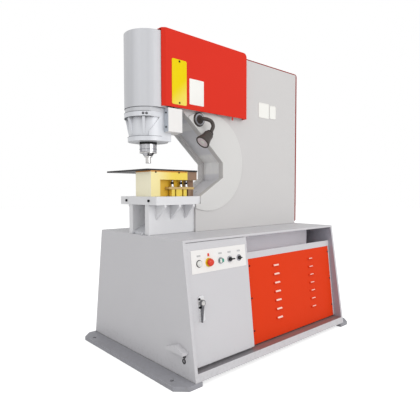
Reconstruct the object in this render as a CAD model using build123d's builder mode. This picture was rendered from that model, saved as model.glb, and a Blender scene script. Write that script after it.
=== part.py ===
from build123d import *
import os
from math import cos, radians, sin, sqrt

# Cabinet, in millimetres; the origin is on the floor under the middle of the cabinet
base_length = 1338.0
base_height = 691.0
base_top_half = 403.0
side_lean = 0.148
end_plate = 18.0
top_thickness = 12.0
top_edge_radius = 5.0
foot_thickness = 22.0
foot_length = 136.0
foot_overhang = 98.0
foot_lip = 4.988
foot_corner = 55.0
anchor_edge = 37.0
anchor_inset = 112.0
anchor_radius = 11.0
floor_sheet = 5.0
sill_height = 40.0
sill_wall = 6.0
sill_flange = 67.0
sheet = 3.0

# Door and louvred cover, both in planes that lean less than the end plates
door_head_gap = 3.0
door_foot_gap = 11.0
door_setback = 1.0
door_lean = 0.1105
door_width = 433.0
door_depth = 20.0
door_skin = 2.0
door_gap = 2.0
cabinet_back = 252.0
cabinet_clearance = 2.0
panel_recess = 25.0
panel_skin = 2.0
panel_width = 851.0
panel_drop = 127.0
panel_seat = 11.0
rail_height = 38.0
frame_depth = 6.0
frame_margin = 42.0
louvre_width = 60.0
louvre_height = 14.0
louvre_depth = 9.0
louvre_wall = 2.0
louvre_rows = 7
louvre_first = 61.0
louvre_foot = 107.0
louvre_columns = (266.0, 627.0)
screw_head = 5.0
screw_shank = 2.5
screw_edge = 9.0
screw_edge_left = 34.0
screw_first = 40.0
screw_foot = 75.0

# Hinges and door furniture
hinge_radius = 4.0
hinge_inset = 6.0
hinge_depth = 10.0
hinge_clearance = 0.05
hinge_lug = 8.0
hinge_lug_length = 16.0
hinge_arm_height = 12.0
hinge_margin = 90.0
control_width = 389.0
control_height = 116.0
control_left = 27.0
control_drop = 39.0
control_skin = 2.0
control_line = 107.0
control_offsets = (76.0, 141.0, 223.0, 290.0, 361.0)
control_hole = 9.0
bezel_radius = 15.0
bezel_bore = 11.3
bezel_height = 6.0
indicator_taper = 30
collar_taper = 12
button_clearance = 0.3
start_travel = 4.0
stop_travel = 5.0
stop_radius = 20.0
stop_collar_radius = 23.0
stop_rim = 4.0
stop_shoulder = 12.0
stop_crown = 15.0
stop_height = 16.0
start_edge = 1.5
knob_lip = 4.0
grip_height = 9.0
lever_grip = (7.0, 34.0, 8.0)
round_grip = (6.0, 20.0, 0.0)
handle_x = 71.0
handle_drop = 299.0
handle_plate_width = 34.0
handle_plate_corner = 8.5
handle_plate_height = 125.0
handle_plate_thickness = 5.0
handle_boss = 15.0
handle_length = 94.0
handle_rest = 8.0
handle_thickness = 10.0
handle_boss_height = 14.0
handle_lift = 4.0
handle_root = 16.0
handle_side_angle = 86.0
handle_plate_head = 35.0

# C-frame; each rise is a height over the cabinet's top
axis_from_end = 80.0
plate_gap_half = 82.0
frame_plate = 30.0
frame_top_rise = 1088.0
frame_reach = 1223.0
throat_reach = 470.0
throat_low_rise = 321.0
throat_high_rise = 414.0
throat_lip_reach = 288.0
throat_notch_reach = 160.0
throat_notch_rise = 691.0
throat_radius = 14.0
head_tab_reach = 125.0
head_tab_rise = 554.0
plate_front_upper = 106.0
seam_reach = 252.0
cheek_reach = 350.0
cheek_radius = 292.0
cheek_thickness = 8.0
liner_recess = 20.0
liner_thickness = 20.0
liner_end_reach = 288.0
liner_top_reach = 196.0
web_thickness = 20.0
web_inset = 13.0
back_cover_depth = 14.0
back_cover_rise = 7.0
back_cover_radius = 20.0
back_cover_end = 14.0

# Head
nose_bottom_rise = 512.0
nose_plate = 25.0
nose_radius = 112.0
nose_rear = 77.0
tube_radius = 106.0
flange_radius = 130.0
barrel_flange_radius = 126.0
flange_bottom_rise = 639.0
flange_thickness = 26.0
barrel_flange = 25.0
barrel_top_rise = 1068.0
barrel_bore = 85.0
barrel_wall = 21.0
rod_radius = 45.0
running_clearance = 0.3
guide_clearance = 0.05
slant_front = 58.0
slant_drop = 104.0
rib_thickness = 14.0
rib_height = 92.0
rib_root = 4.0
rib_foot = 1.0
rib_angles = (135, 180, 225)
piston_height = 60.0
piston_head_gap = 10.0
seal_thickness = 12.0
seal_radius = 48.0
nut_radius = 47.5
nut_seal_gap = 2.0
nut_height = 42.0
nut_cone_height = 20.0
nut_chamfer = 3.0
nut_cone_radius = 24.0
punch_radius = 15.0
punch_length = 40.0
punch_chamfer = 1.5
punch_head_radius = 20.0

# Covers on the head
cover_radius = 129.0
cover_top_rise = 1093.0
cover_tail = 40.0
upper_half = 150.0
upper_top_rise = 1109.0
upper_bottom_rise = 697.0
upper_front = 2.0
upper_bevel = 18.0
cover_lap = 5.0
frame_clearance = 1.0
upper_length = 652.0
upper_corner = 25.0
switch_left = 29.0
switch_width = 97.0
switch_bottom_rise = 561.0
switch_top_rise = 690.0
switch_depth = 40.0

# Arm and table
arm_half = 99.0
arm_wall = 37.0
arm_front = 66.0
arm_top_rise = 165.0
bolster_thickness = 45.0
bolster_chamfer = 3.0
bolster_half = 180.0
bolster_front = 73.0
bolster_reach = 217.0
gusset_thickness = 12.0
gusset_drop = 84.0
gusset_places = (-14.0, 84.0, 183.0)
slug_hole = 30.0
block_front = 35.0
block_length = 257.0
block_half = 76.0
block_top_rise = 353.0
block_tail = 76.0
tail_setback = 6.0
recess_reach = 27.0
recess_height = 94.0
recess_depth = 40.0
table_thickness = 9.0
table_front = 59.0
table_length = 357.0
table_far = 366.0
die_radius = 33.0
die_height = 40.0
die_clearance = 0.4
clamp_height = 40.0
clamp_thickness = 13.0
clamp_left = 88.0
clamp_length = 184.0
stud_places = (125.0, 188.0, 227.0)
clamp_bars = ((111.0, 21.0), (142.0, 42.0), (196.0, 23.0), (230.0, 20.0))

# Work lamp
lamp_reach = 274.0
lamp_rise = 656.0
lamp_base_radius = 40.0
lamp_base_depth = 16.0
lamp_base_edge = 5.0
lamp_boss_lip = 7.0
lamp_boss_depth = 10.0
lamp_boss_taper = 20
lamp_neck_radius = 11.0
lamp_ball_radius = 13.0
socket_grip = 5.0
lamp_head_radius = 40.0
lamp_head_length = 88.0

# Heights over the floor of what stands on the cabinet
frame_top = base_height + frame_top_rise
throat_low = base_height + throat_low_rise
throat_high = base_height + throat_high_rise
throat_notch_height = base_height + throat_notch_rise
head_tab_height = base_height + head_tab_rise
nose_bottom = base_height + nose_bottom_rise
flange_bottom = base_height + flange_bottom_rise
barrel_top = base_height + barrel_top_rise
seal_bottom = nose_bottom - seal_thickness
nut_top = seal_bottom - nut_seal_gap
nut_shoulder = nut_top - nut_height
nut_bottom = nut_shoulder - nut_cone_height
punch_tip = nut_bottom - punch_length
cover_top = base_height + cover_top_rise
upper_top = base_height + upper_top_rise
upper_bottom = base_height + upper_bottom_rise
switch_bottom = base_height + switch_bottom_rise
switch_top = base_height + switch_top_rise
arm_top = base_height + arm_top_rise
block_top = base_height + block_top_rise
lamp_height = base_height + lamp_rise
cheek_height = throat_high

half_length = base_length / 2
foot_half = base_top_half + (base_height - foot_thickness) * side_lean + foot_lip
top_under = base_height - top_thickness
anchor_spacing_x = base_length + 2 * (foot_overhang - anchor_edge)
anchor_spacing_y = 2 * (foot_half - anchor_inset)
sill_top = foot_thickness + sill_height
door_top = top_under - door_head_gap
door_top_half = base_top_half - door_setback
door_height = door_top - sill_top - door_foot_gap
hinge_places = (hinge_margin, door_height - hinge_margin)
inner_x = half_length - end_plate
punch_x = -half_length + axis_from_end
frame_outer = plate_gap_half + frame_plate
flange_top = flange_bottom + flange_thickness
barrel_bottom = flange_top
bolster_top = arm_top + bolster_thickness
table_top = block_top + table_thickness
lean_cos = 1 / sqrt(1 + door_lean ** 2)
door_left = -inner_x + door_gap
door_right = door_left + door_width

os.makedirs("parts", exist_ok=True)

door_plane = Plane(origin=(0, -door_top_half, door_top), x_dir=(1, 0, 0), z_dir=(0, -1, door_lean))
panel_plane = door_plane.offset(-panel_recess)


def side_half(height):
    """Half depth of the cabinet at a height."""
    return base_top_half + (base_height - height) * side_lean


def frame_x(reach):
    """Position along the machine of a distance behind the punch axis."""
    return punch_x + reach


# Two floor plates across the ends, with chamfered outer corners
with BuildPart() as foot_plates:
    for side in (-1, 1):
        with BuildSketch() as foot_outline:
            with Locations((side * (half_length + foot_overhang - foot_length / 2), 0)):
                Rectangle(foot_length, 2 * foot_half)
            corner_pairs = foot_outline.vertices().group_by(Axis.X)
            chamfer(corner_pairs[0] if side < 0 else corner_pairs[-1], foot_corner)
            with Locations((side * anchor_spacing_x / 2, 0)):
                with GridLocations(0, anchor_spacing_y, 1, 2):
                    Circle(anchor_radius, mode=Mode.SUBTRACT)
        extrude(amount=foot_thickness)
foot_plates.part.label = "foot_plates"
export_step(foot_plates.part, "parts/foot_plates.step")


def end_plate_solid(start, holes):
    """Trapezoid end wall from its outer face inwards, with round holes."""
    low = side_half(foot_thickness)
    high = side_half(top_under)
    with BuildPart() as wall:
        with BuildSketch(Plane.YZ.offset(start)):
            Polygon(
                (-low, foot_thickness),
                (low, foot_thickness),
                (high, top_under),
                (-high, top_under),
                align=None,
            )
            for place in holes:
                with Locations(place):
                    Circle(gland_radius, mode=Mode.SUBTRACT)
        extrude(amount=end_plate)
    return wall


gland_y = -414.0
gland_heights = (132.0, 104.0)
gland_radius = 8.0
gland_hole_radius = 1.5 * gland_radius

end_plate_front = end_plate_solid(-half_length, [(gland_y, height) for height in gland_heights])
end_plate_front.part.label = "end_plate_front"
export_step(end_plate_front.part, "parts/end_plate_front.step")

end_plate_rear = end_plate_solid(inner_x, [])
end_plate_rear.part.label = "end_plate_rear"
export_step(end_plate_rear.part, "parts/end_plate_rear.step")

pipe_radius = 11.0
pipe_hole = 14.0
pipe_column = -150.0
pipe_spread = 30.0
pipe_reach = 640.0
pipe_knee_rise = 77.0
pipe_slope = 120.0
pipe_port_rise = 180.0
pipe_port_pitch = 80.0

with BuildPart() as base_top_plate:
    with BuildSketch(Plane.XY.offset(top_under)):
        Rectangle(base_length, 2 * side_half(top_under))
        with Locations((pipe_column, 0)):
            with GridLocations(0, 2 * pipe_spread, 1, 2):
                Circle(pipe_hole, mode=Mode.SUBTRACT)
    extrude(amount=top_thickness)
    rim = base_top_plate.faces().sort_by(Axis.Z)[-1].outer_wire().edges()
    fillet(rim, top_edge_radius)
base_top_plate.part.label = "base_top_plate"
export_step(base_top_plate.part, "parts/base_top_plate.step")

floor_half = side_half(foot_thickness + floor_sheet) - sill_wall - running_clearance

with BuildPart() as base_floor:
    with BuildSketch(Plane.XY.offset(foot_thickness)):
        Rectangle(2 * inner_x, 2 * floor_half)
    extrude(amount=floor_sheet)
base_floor.part.label = "base_floor"
export_step(base_floor.part, "parts/base_floor.step")

sill_low_half = side_half(foot_thickness)
sill_high_half = side_half(sill_top)

# Bottom rails with a flange turned inwards at the top
with BuildPart() as sills:
    with BuildSketch(Plane.YZ.offset(-inner_x)):
        Polygon(
            (-sill_low_half, foot_thickness),
            (-sill_high_half, sill_top),
            (-sill_high_half + sill_flange, sill_top),
            (-sill_high_half + sill_flange, sill_top - sill_wall),
            (-sill_high_half + sill_wall, sill_top - sill_wall),
            (-sill_low_half + sill_wall, foot_thickness),
            align=None,
        )
    extrude(amount=2 * inner_x)
    mirror(about=Plane.XZ)
sills.part.label = "sills"
export_step(sills.part, "parts/sills.step")

# The louvred cover is screwed on a frame whose top member is the pale rail
panel_left = door_right + door_gap
panel_height = (door_top - sill_top) / lean_cos - panel_drop - panel_seat
panel_low = -(panel_drop + panel_height)
louvre_pitch = (panel_height - louvre_first - louvre_foot) / (louvre_rows - 1)
screw_rows = (screw_first, (screw_first + panel_height - screw_foot) / 2, panel_height - screw_foot)
rail_top = -panel_drop + rail_height

with BuildPart() as panel_frame:
    with BuildSketch(panel_plane.offset(-panel_skin - frame_depth)):
        with Locations((panel_left, panel_low)):
            Rectangle(inner_x - panel_left, rail_top - panel_low, align=(Align.MIN, Align.MIN))
        with Locations((panel_left + frame_margin, panel_low + frame_margin)):
            Rectangle(
                panel_width - 2 * frame_margin,
                panel_height - 2 * frame_margin,
                align=(Align.MIN, Align.MIN),
                mode=Mode.SUBTRACT,
            )
    extrude(amount=frame_depth)
    with BuildSketch(panel_plane.offset(-panel_skin)):
        with Locations((panel_left, -panel_drop)):
            Rectangle(inner_x - panel_left, rail_height, align=(Align.MIN, Align.MIN))
    extrude(amount=panel_skin)
panel_frame.part.label = "panel_frame"
export_step(panel_frame.part, "parts/panel_frame.step")


def louvre_places():
    for column in louvre_columns:
        for row in range(louvre_rows):
            yield (panel_left + column, -panel_drop - louvre_first - row * louvre_pitch)


def screw_places(width, left, top):
    for row in screw_rows:
        for x in (left + screw_edge_left, left + width - screw_edge):
            yield (x, top - row)


panel_screws = list(screw_places(panel_width, panel_left, -panel_drop))

with BuildPart() as louvred_cover:
    with BuildSketch(panel_plane.offset(-panel_skin)):
        with Locations((panel_left, panel_low)):
            Rectangle(panel_width, panel_height, align=(Align.MIN, Align.MIN))
        with Locations(*louvre_places()):
            Rectangle(louvre_width - 2 * louvre_wall, louvre_height, mode=Mode.SUBTRACT)
        with Locations(*panel_screws):
            Circle(screw_shank, mode=Mode.SUBTRACT)
    extrude(amount=panel_skin)
    for x, y in louvre_places():
        low = y - louvre_height / 2
        high = y + louvre_height / 2 + louvre_wall
        for start, width in (
            (x - louvre_width / 2, louvre_wall),
            (x + louvre_width / 2 - louvre_wall, louvre_wall),
        ):
            side_plane = Plane(panel_plane.from_local_coords((start, 0, 0)), x_dir=panel_plane.y_dir,
                               z_dir=panel_plane.x_dir)
            with BuildSketch(side_plane):
                Polygon((high, 0), (low, 0), (low, louvre_depth), align=None)
            extrude(amount=width)
        hood_start = panel_plane.from_local_coords((x - louvre_width / 2, 0, 0))
        hood_plane = Plane(hood_start, x_dir=panel_plane.y_dir, z_dir=panel_plane.x_dir)
        with BuildSketch(hood_plane):
            Polygon(
                (high, 0),
                (low, louvre_depth),
                (low, louvre_depth - louvre_wall),
                (high - louvre_wall, 0),
                align=None,
            )
        extrude(amount=louvre_width)
louvred_cover.part.label = "louvred_cover"
export_step(louvred_cover.part, "parts/louvred_cover.step")

with BuildPart() as far_cover:
    far_plane = Plane.YZ.offset(-inner_x)
    with BuildSketch(far_plane):
        low_y = side_half(sill_top) - sill_wall
        high_y = side_half(top_under) - sill_wall
        Polygon(
            (low_y, sill_top),
            (high_y, top_under),
            (high_y - sheet, top_under),
            (low_y - sheet, sill_top),
            align=None,
        )
    extrude(amount=2 * inner_x)
far_cover.part.label = "far_cover"
export_step(far_cover.part, "parts/far_cover.step")

with BuildPart() as cover_screws:
    with BuildSketch(panel_plane):
        with Locations(*panel_screws):
            Circle(screw_head)
    extrude(amount=screw_head / 2)
    with BuildSketch(panel_plane.offset(-panel_skin)):
        with Locations(*panel_screws):
            Circle(screw_shank - running_clearance)
    extrude(amount=panel_skin)
cover_screws.part.label = "cover_screws"
export_step(cover_screws.part, "parts/cover_screws.step")

# Sheet box behind the door, open to the front
hinge_x = door_right - hinge_inset
cabinet_right = door_right + 1.0
rim_half_top = door_top_half - (door_depth + cabinet_clearance) / lean_cos


def rim_half(height):
    """Half depth of the box's front rim at a height."""
    return rim_half_top + (door_top - height) * door_lean


with BuildPart() as cabinet_box:
    with BuildSketch(Plane.YZ.offset(-inner_x)):
        Polygon(
            (-rim_half(sill_top), sill_top),
            (-rim_half(top_under), top_under),
            (-cabinet_back, top_under),
            (-cabinet_back, sill_top),
            align=None,
        )
    extrude(amount=cabinet_right + inner_x)
    with BuildSketch(Plane.YZ.offset(-inner_x + sheet)):
        Polygon(
            (-rim_half(0), sill_top + sheet),
            (-rim_half(0), top_under - sheet),
            (-cabinet_back - sheet, top_under - sheet),
            (-cabinet_back - sheet, sill_top + sheet),
            align=None,
        )
    extrude(amount=cabinet_right + inner_x - 2 * sheet, mode=Mode.SUBTRACT)
    with BuildSketch(Plane.YZ.offset(-inner_x)):
        for height in gland_heights:
            with Locations((gland_y, height)):
                Circle(gland_hole_radius)
    extrude(amount=sheet, mode=Mode.SUBTRACT)
cabinet_box.part.label = "cabinet_box"
export_step(cabinet_box.part, "parts/cabinet_box.step")

# Pins on arms from the box's side wall carry the door's lugs
hinge_arm_root = 30.0
lug_notch = 3 * door_skin


def hinge_heights():
    for place in hinge_places:
        yield -place


with BuildPart() as door_hinges:
    for place in hinge_heights():
        with BuildSketch(door_plane.offset(-door_depth - cabinet_clearance - hinge_arm_root)):
            with Locations((hinge_x, place)):
                Rectangle(2 * hinge_radius, hinge_arm_height)
        extrude(amount=hinge_arm_root + cabinet_clearance + door_depth - hinge_depth)
        pin_start = door_plane.from_local_coords(
            (hinge_x, place - hinge_arm_height / 2 - hinge_lug_length, -hinge_depth)
        )
        with BuildSketch(Plane(pin_start, x_dir=(1, 0, 0), z_dir=door_plane.y_dir)):
            Circle(hinge_radius)
        extrude(amount=hinge_arm_height + 2 * hinge_lug_length)
door_hinges.part.label = "door_hinges"
export_step(door_hinges.part, "parts/door_hinges.step")

control_top = -control_drop
control_y = -control_line
control_places = [(door_left + offset_x, control_y) for offset_x in control_offsets]
handle_place = (door_left + handle_x, -handle_drop)

with BuildPart() as door:
    with BuildSketch(door_plane.offset(-door_depth)):
        with Locations((door_left, -door_height)):
            Rectangle(door_width, door_height, align=(Align.MIN, Align.MIN))
    extrude(amount=door_depth)
    with BuildSketch(door_plane.offset(-door_depth)):
        with Locations((door_left + door_skin, -door_height + door_skin)):
            Rectangle(
                door_width - 2 * door_skin, door_height - 2 * door_skin, align=(Align.MIN, Align.MIN)
            )
    extrude(amount=door_depth - door_skin, mode=Mode.SUBTRACT)
    for place in hinge_heights():
        # The side flange is notched round each arm
        with BuildSketch(door_plane.offset(-door_depth)):
            with Locations((door_right - door_skin, place)):
                Rectangle(lug_notch, hinge_arm_height + 2 * button_clearance)
        extrude(amount=door_depth - door_skin, mode=Mode.SUBTRACT)
        for lug_low in (
            place - hinge_arm_height / 2 - hinge_lug_length,
            place + hinge_arm_height / 2 + button_clearance,
        ):
            lug_start = door_plane.from_local_coords((hinge_x, lug_low, -hinge_depth))
            with BuildSketch(Plane(lug_start, x_dir=(1, 0, 0), z_dir=door_plane.y_dir)):
                with Locations((-hinge_lug / 2, 0)):
                    Rectangle(2 * hinge_lug, 2 * hinge_lug)
                Circle(hinge_radius + hinge_clearance, mode=Mode.SUBTRACT)
            extrude(amount=hinge_lug_length - button_clearance)
    with BuildSketch(door_plane):
        with Locations(*control_places):
            Circle(control_hole)
        with Locations(handle_place):
            Circle(control_hole)
    extrude(amount=-door_depth, mode=Mode.SUBTRACT)
door.part.label = "door"
export_step(door.part, "parts/door.step")

with BuildPart() as control_panel:
    with BuildSketch(door_plane):
        with Locations((door_left + control_left, control_top)):
            Rectangle(control_width, control_height, align=(Align.MIN, Align.MAX))
        with Locations(*control_places):
            Circle(control_hole, mode=Mode.SUBTRACT)
    extrude(amount=control_skin)
control_panel.part.label = "control_panel"
export_step(control_panel.part, "parts/control_panel.step")

control_face = door_plane.offset(control_skin)
indicator_place, stop_place, start_place, lever_place, key_place = control_places

with BuildPart() as control_bezels:
    with BuildSketch(control_face):
        with Locations(start_place, lever_place, key_place):
            Circle(bezel_radius)
            Circle(bezel_bore, mode=Mode.SUBTRACT)
    extrude(amount=bezel_height)
control_bezels.part.label = "control_bezels"
export_step(control_bezels.part, "parts/control_bezels.step")

stem_length = door_depth - door_skin
stem_radius = control_hole - button_clearance


def stem(place, radius, back):
    """Shaft through the door skin behind a control."""
    with BuildPart() as shaft:
        with BuildSketch(control_face):
            with Locations(place):
                Circle(radius)
        extrude(amount=-back)
    return shaft.part


with BuildPart() as indicator_lamp:
    with BuildSketch(control_face):
        with Locations(indicator_place):
            Circle(bezel_radius)
    extrude(amount=bezel_height)
    with BuildSketch(control_face.offset(bezel_height)):
        with Locations(indicator_place):
            Circle(bezel_bore)
    extrude(amount=bezel_height, taper=indicator_taper)
    add(stem(indicator_place, stem_radius, stem_length))
indicator_lamp.part.label = "indicator_lamp"
export_step(indicator_lamp.part, "parts/indicator_lamp.step")

with BuildPart() as stop_collar:
    with BuildSketch(control_face):
        with Locations(stop_place):
            Circle(stop_collar_radius)
            Circle(bezel_bore, mode=Mode.SUBTRACT)
    extrude(amount=bezel_height, taper=collar_taper)
stop_collar.part.label = "stop_collar"
export_step(stop_collar.part, "parts/stop_collar.step")


def turned(place, profile_points, centre_plane):
    """Solid of revolution about a control's axis, from (radius, height) points."""
    origin = centre_plane.from_local_coords((place[0], place[1], 0))
    with BuildPart() as body:
        with BuildSketch(Plane(origin, x_dir=centre_plane.x_dir, z_dir=-centre_plane.y_dir)):
            Polygon(*profile_points, align=None)
        revolve(axis=Axis(origin, centre_plane.z_dir))
    return body


stop_lift = bezel_height + stop_travel + button_clearance
stop_button = turned(
    stop_place,
    (
        (0, -stem_length + stop_travel),
        (stem_radius, -stem_length + stop_travel),
        (stem_radius, stop_lift),
        (stop_radius - stop_rim / 2, stop_lift),
        (stop_radius, stop_lift + stop_rim),
        (stop_radius - stop_rim, stop_lift + stop_shoulder),
        (stop_radius / 2, stop_lift + stop_crown),
        (0, stop_lift + stop_height),
    ),
    control_face,
)
stop_button.part.label = "stop_button"
export_step(stop_button.part, "parts/stop_button.step")

button_radius = bezel_bore - button_clearance
start_button = turned(
    start_place,
    (
        (0, -stem_length + stop_travel),
        (stem_radius, -stem_length + stop_travel),
        (stem_radius, start_travel + button_clearance),
        (button_radius, start_travel + button_clearance),
        (button_radius, bezel_height + start_travel),
        (button_radius - start_edge, bezel_height + start_travel + start_edge),
        (0, bezel_height + start_travel + start_edge),
    ),
    control_face,
)
start_button.part.label = "start_button"
export_step(start_button.part, "parts/start_button.step")


def selector(place, grip_width, grip_length, grip_shift):
    """Turning knob with a raised grip bar across it."""
    body = turned(
        place,
        (
            (0, -stem_length),
            (stem_radius, -stem_length),
            (stem_radius, button_clearance),
            (button_radius, button_clearance),
            (button_radius, bezel_height + knob_lip),
            (0, bezel_height + knob_lip),
        ),
        control_face,
    )
    with BuildPart() as knob:
        add(body.part)
        with BuildSketch(control_face.offset(bezel_height + knob_lip)):
            with Locations((place[0] + grip_shift, place[1])):
                SlotOverall(grip_length, grip_width)
        extrude(amount=grip_height)
    return knob


lever_selector = selector(lever_place, *lever_grip)
lever_selector.part.label = "lever_selector"
export_step(lever_selector.part, "parts/lever_selector.step")

round_selector = selector(key_place, *round_grip)
round_selector.part.label = "round_selector"
export_step(round_selector.part, "parts/round_selector.step")

handle_face = door_plane.offset(handle_plate_thickness)
plate_shift = handle_plate_height / 2 - handle_plate_head

with BuildPart() as handle_plate:
    with BuildSketch(door_plane):
        with Locations((handle_place[0], handle_place[1] - plate_shift)):
            RectangleRounded(handle_plate_width, handle_plate_height, handle_plate_corner)
        with Locations(handle_place):
            Circle(control_hole, mode=Mode.SUBTRACT)
    extrude(amount=handle_plate_thickness)
handle_plate.part.label = "handle_plate"
export_step(handle_plate.part, "parts/handle_plate.step")

with BuildPart() as handle_lever:
    with BuildSketch(handle_face.offset(button_clearance)):
        with Locations(handle_place):
            Circle(handle_boss)
    extrude(amount=handle_boss_height)
    with BuildSketch(handle_face.offset(button_clearance + handle_lift)):
        with Locations((
            handle_place[0] - handle_length / 2 * sin(radians(handle_rest)),
            handle_place[1] - handle_length / 2 * cos(radians(handle_rest)),
        )):
            Trapezoid(handle_root, handle_length, handle_side_angle, rotation=180 - handle_rest)
    extrude(amount=handle_thickness)
    with BuildSketch(handle_face.offset(button_clearance)):
        with Locations(handle_place):
            Circle(stem_radius)
    extrude(amount=-(door_depth + handle_plate_thickness))
handle_lever.part.label = "handle_lever"
export_step(handle_lever.part, "parts/handle_lever.step")

# Behind the door: a back plate with switchgear
back_plate_width = 380.0
back_plate_edge = 40.0
back_plate_low = sill_top + back_plate_edge
back_plate_height = top_under - back_plate_edge - back_plate_low
gear_shares = (0.26, 0.60, 0.86)
gear_rows = [back_plate_low + back_plate_height * share for share in gear_shares]
gear_gap = 8.0
gear_width = 45.0
gear_height = 80.0
gear_depth = 60.0
gear_count = 6
cabinet_middle = (-inner_x + cabinet_right) / 2

with BuildPart() as component_plate:
    with BuildSketch(Plane.XZ.offset(cabinet_back + sheet)):
        with Locations((cabinet_middle, back_plate_low + back_plate_height / 2)):
            Rectangle(back_plate_width, back_plate_height)
    extrude(amount=sheet)
    for row in gear_rows:
        with BuildSketch(Plane.XZ.offset(cabinet_back + 2 * sheet)):
            with Locations((cabinet_middle, row)):
                with GridLocations(gear_width + gear_gap, 0, gear_count, 1):
                    Rectangle(gear_width, gear_height)
        extrude(amount=gear_depth)
component_plate.part.label = "component_plate"
export_step(component_plate.part, "parts/component_plate.step")

# Oil tank on legs with the pump set under it
tank_front = -69.0
tank_rear = 597.0
tank_half = 250.0
tank_low = 330.0
tank_head_gap = 16.0
tank_high = top_under - tank_head_gap
tank_wall = 4.0
tank_bend = 12.0
leg_width = 40.0
floor_top = foot_thickness + floor_sheet
tank_middle = (tank_front + tank_rear) / 2
suction_inset = 60.0
suction_x = tank_front + suction_inset

with BuildPart() as oil_tank:
    with BuildSketch(Plane.XY.offset(tank_low)):
        with Locations((tank_middle, 0)):
            Rectangle(tank_rear - tank_front, 2 * tank_half)
    extrude(amount=tank_high - tank_low)
    fillet(oil_tank.edges().filter_by(Axis.Z), tank_bend)
    with BuildSketch(Plane.XY.offset(tank_low + tank_wall)):
        with Locations((tank_middle, 0)):
            Rectangle(tank_rear - tank_front - 2 * tank_wall, 2 * (tank_half - tank_wall))
    extrude(amount=tank_high - tank_low - 2 * tank_wall, mode=Mode.SUBTRACT)
    with BuildSketch(Plane.XY.offset(tank_low)):
        with Locations((suction_x, 0)):
            Circle(pipe_radius)
    extrude(amount=tank_wall, mode=Mode.SUBTRACT)
    with BuildSketch(Plane.XY.offset(floor_top)):
        with Locations((tank_middle, 0)):
            with GridLocations(
                tank_rear - tank_front - 2 * leg_width, 2 * (tank_half - leg_width), 2, 2
            ):
                Rectangle(leg_width, leg_width)
    extrude(amount=tank_low - floor_top)
oil_tank.part.label = "oil_tank"
export_step(oil_tank.part, "parts/oil_tank.step")

motor_radius = 98.0
motor_length = 260.0
motor_foot_length = 200.2
motor_foot_width = 166.6
motor_post_length = 169.0
motor_post_width = 88.2
motor_axis = 150.0
motor_front = 140.0
motor_foot = 14.0
fan_cowl_length = 50.0
cowl_taper = 8
terminal_length = 100.0
terminal_width = 90.0
terminal_rise = 35.0
fin_height = 8.0
fin_count = 10
bell_length = 90.0
bell_flange = 12.0
bell_taper = 12
bell_radius = 80.0
pump_length = 110.0
pump_half = 45.0
pump_width = 72.0
pump_corner = 22.5
pump_front = motor_front - bell_length

with BuildPart() as motor:
    with BuildSketch(Plane.YZ.offset(motor_front)):
        with Locations((0, motor_axis)):
            Circle(motor_radius - fin_height)
            with PolarLocations(motor_radius - fin_height, fin_count):
                Rectangle(2 * fin_height, fin_height)
    extrude(amount=motor_length)
    with BuildSketch(Plane.YZ.offset(motor_front + motor_length)):
        with Locations((0, motor_axis)):
            Circle(motor_radius)
    extrude(amount=fan_cowl_length, taper=cowl_taper)
    with BuildSketch(Plane.XY.offset(floor_top)):
        with Locations((motor_front + motor_length / 2, 0)):
            Rectangle(motor_foot_length, motor_foot_width)
    extrude(amount=motor_foot)
    with BuildSketch(Plane.XY.offset(floor_top)):
        with Locations((motor_front + motor_length / 2, 0)):
            Rectangle(motor_post_length, motor_post_width)
    extrude(amount=motor_axis - floor_top)
    with BuildSketch(Plane.XY.offset(motor_axis)):
        with Locations((motor_front + motor_length / 2, 0)):
            Rectangle(terminal_length, terminal_width)
    extrude(amount=motor_radius + terminal_rise)
motor.part.label = "motor"
export_step(motor.part, "parts/motor.step")

with BuildPart() as gear_pump:
    with BuildSketch(Plane.YZ.offset(motor_front)):
        with Locations((0, motor_axis)):
            Circle(motor_radius - fin_height)
    extrude(amount=-bell_flange)
    with BuildSketch(Plane.YZ.offset(motor_front)):
        with Locations((0, motor_axis)):
            Circle(bell_radius)
    extrude(amount=-bell_length, taper=bell_taper)
    with BuildSketch(Plane.YZ.offset(pump_front)):
        with Locations((0, motor_axis)):
            RectangleRounded(pump_width, 2 * pump_half, pump_corner)
    extrude(amount=-pump_length)
gear_pump.part.label = "gear_pump"
export_step(gear_pump.part, "parts/gear_pump.step")

valve_shift = 20.0
valve_x = pipe_column - valve_shift
valve_foot = 14.0
solenoid_radius = 20.0
solenoid_length = 70.0
solenoid_pitch = 56.0
valve_length = 120.0
valve_half = 60.0
valve_height = 110.0
valve_base = 140.0

with BuildPart() as valve_block:
    with BuildSketch(Plane.XY.offset(valve_base)):
        with Locations((valve_x, 0)):
            Rectangle(valve_length, 2 * valve_half)
    extrude(amount=valve_height)
    with BuildSketch(Plane.XY.offset(floor_top)):
        with Locations((valve_x, 0)):
            with GridLocations(valve_length - 2 * valve_foot, 2 * (valve_half - valve_foot), 2, 2):
                Rectangle(valve_foot, valve_foot)
    extrude(amount=valve_base - floor_top)
    with BuildSketch(Plane.XZ.offset(valve_half)):
        with Locations((valve_x, valve_base + valve_height / 2)):
            with GridLocations(0, solenoid_pitch, 1, 2):
                Circle(solenoid_radius)
    extrude(amount=solenoid_length)
valve_block.part.label = "valve_block"
export_step(valve_block.part, "parts/valve_block.step")

# C-frame side plates around the throat
def throat_points():
    return (
        (frame_x(throat_notch_reach), throat_notch_height),
        (frame_x(throat_reach), throat_high),
        (frame_x(throat_reach), throat_low),
        (frame_x(throat_lip_reach), bolster_top),
    )


def plate_outline():
    return (
        (frame_x(nose_rear), head_tab_height),
        (frame_x(head_tab_reach), head_tab_height),
        *throat_points(),
        (frame_x(throat_lip_reach), arm_top),
        (frame_x(seam_reach), arm_top),
        (frame_x(seam_reach), base_height),
        (frame_x(frame_reach), base_height),
        (frame_x(frame_reach), frame_top),
        (frame_x(plate_front_upper), frame_top),
        (frame_x(plate_front_upper), flange_bottom),
        (frame_x(nose_rear), flange_bottom),
    )


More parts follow.
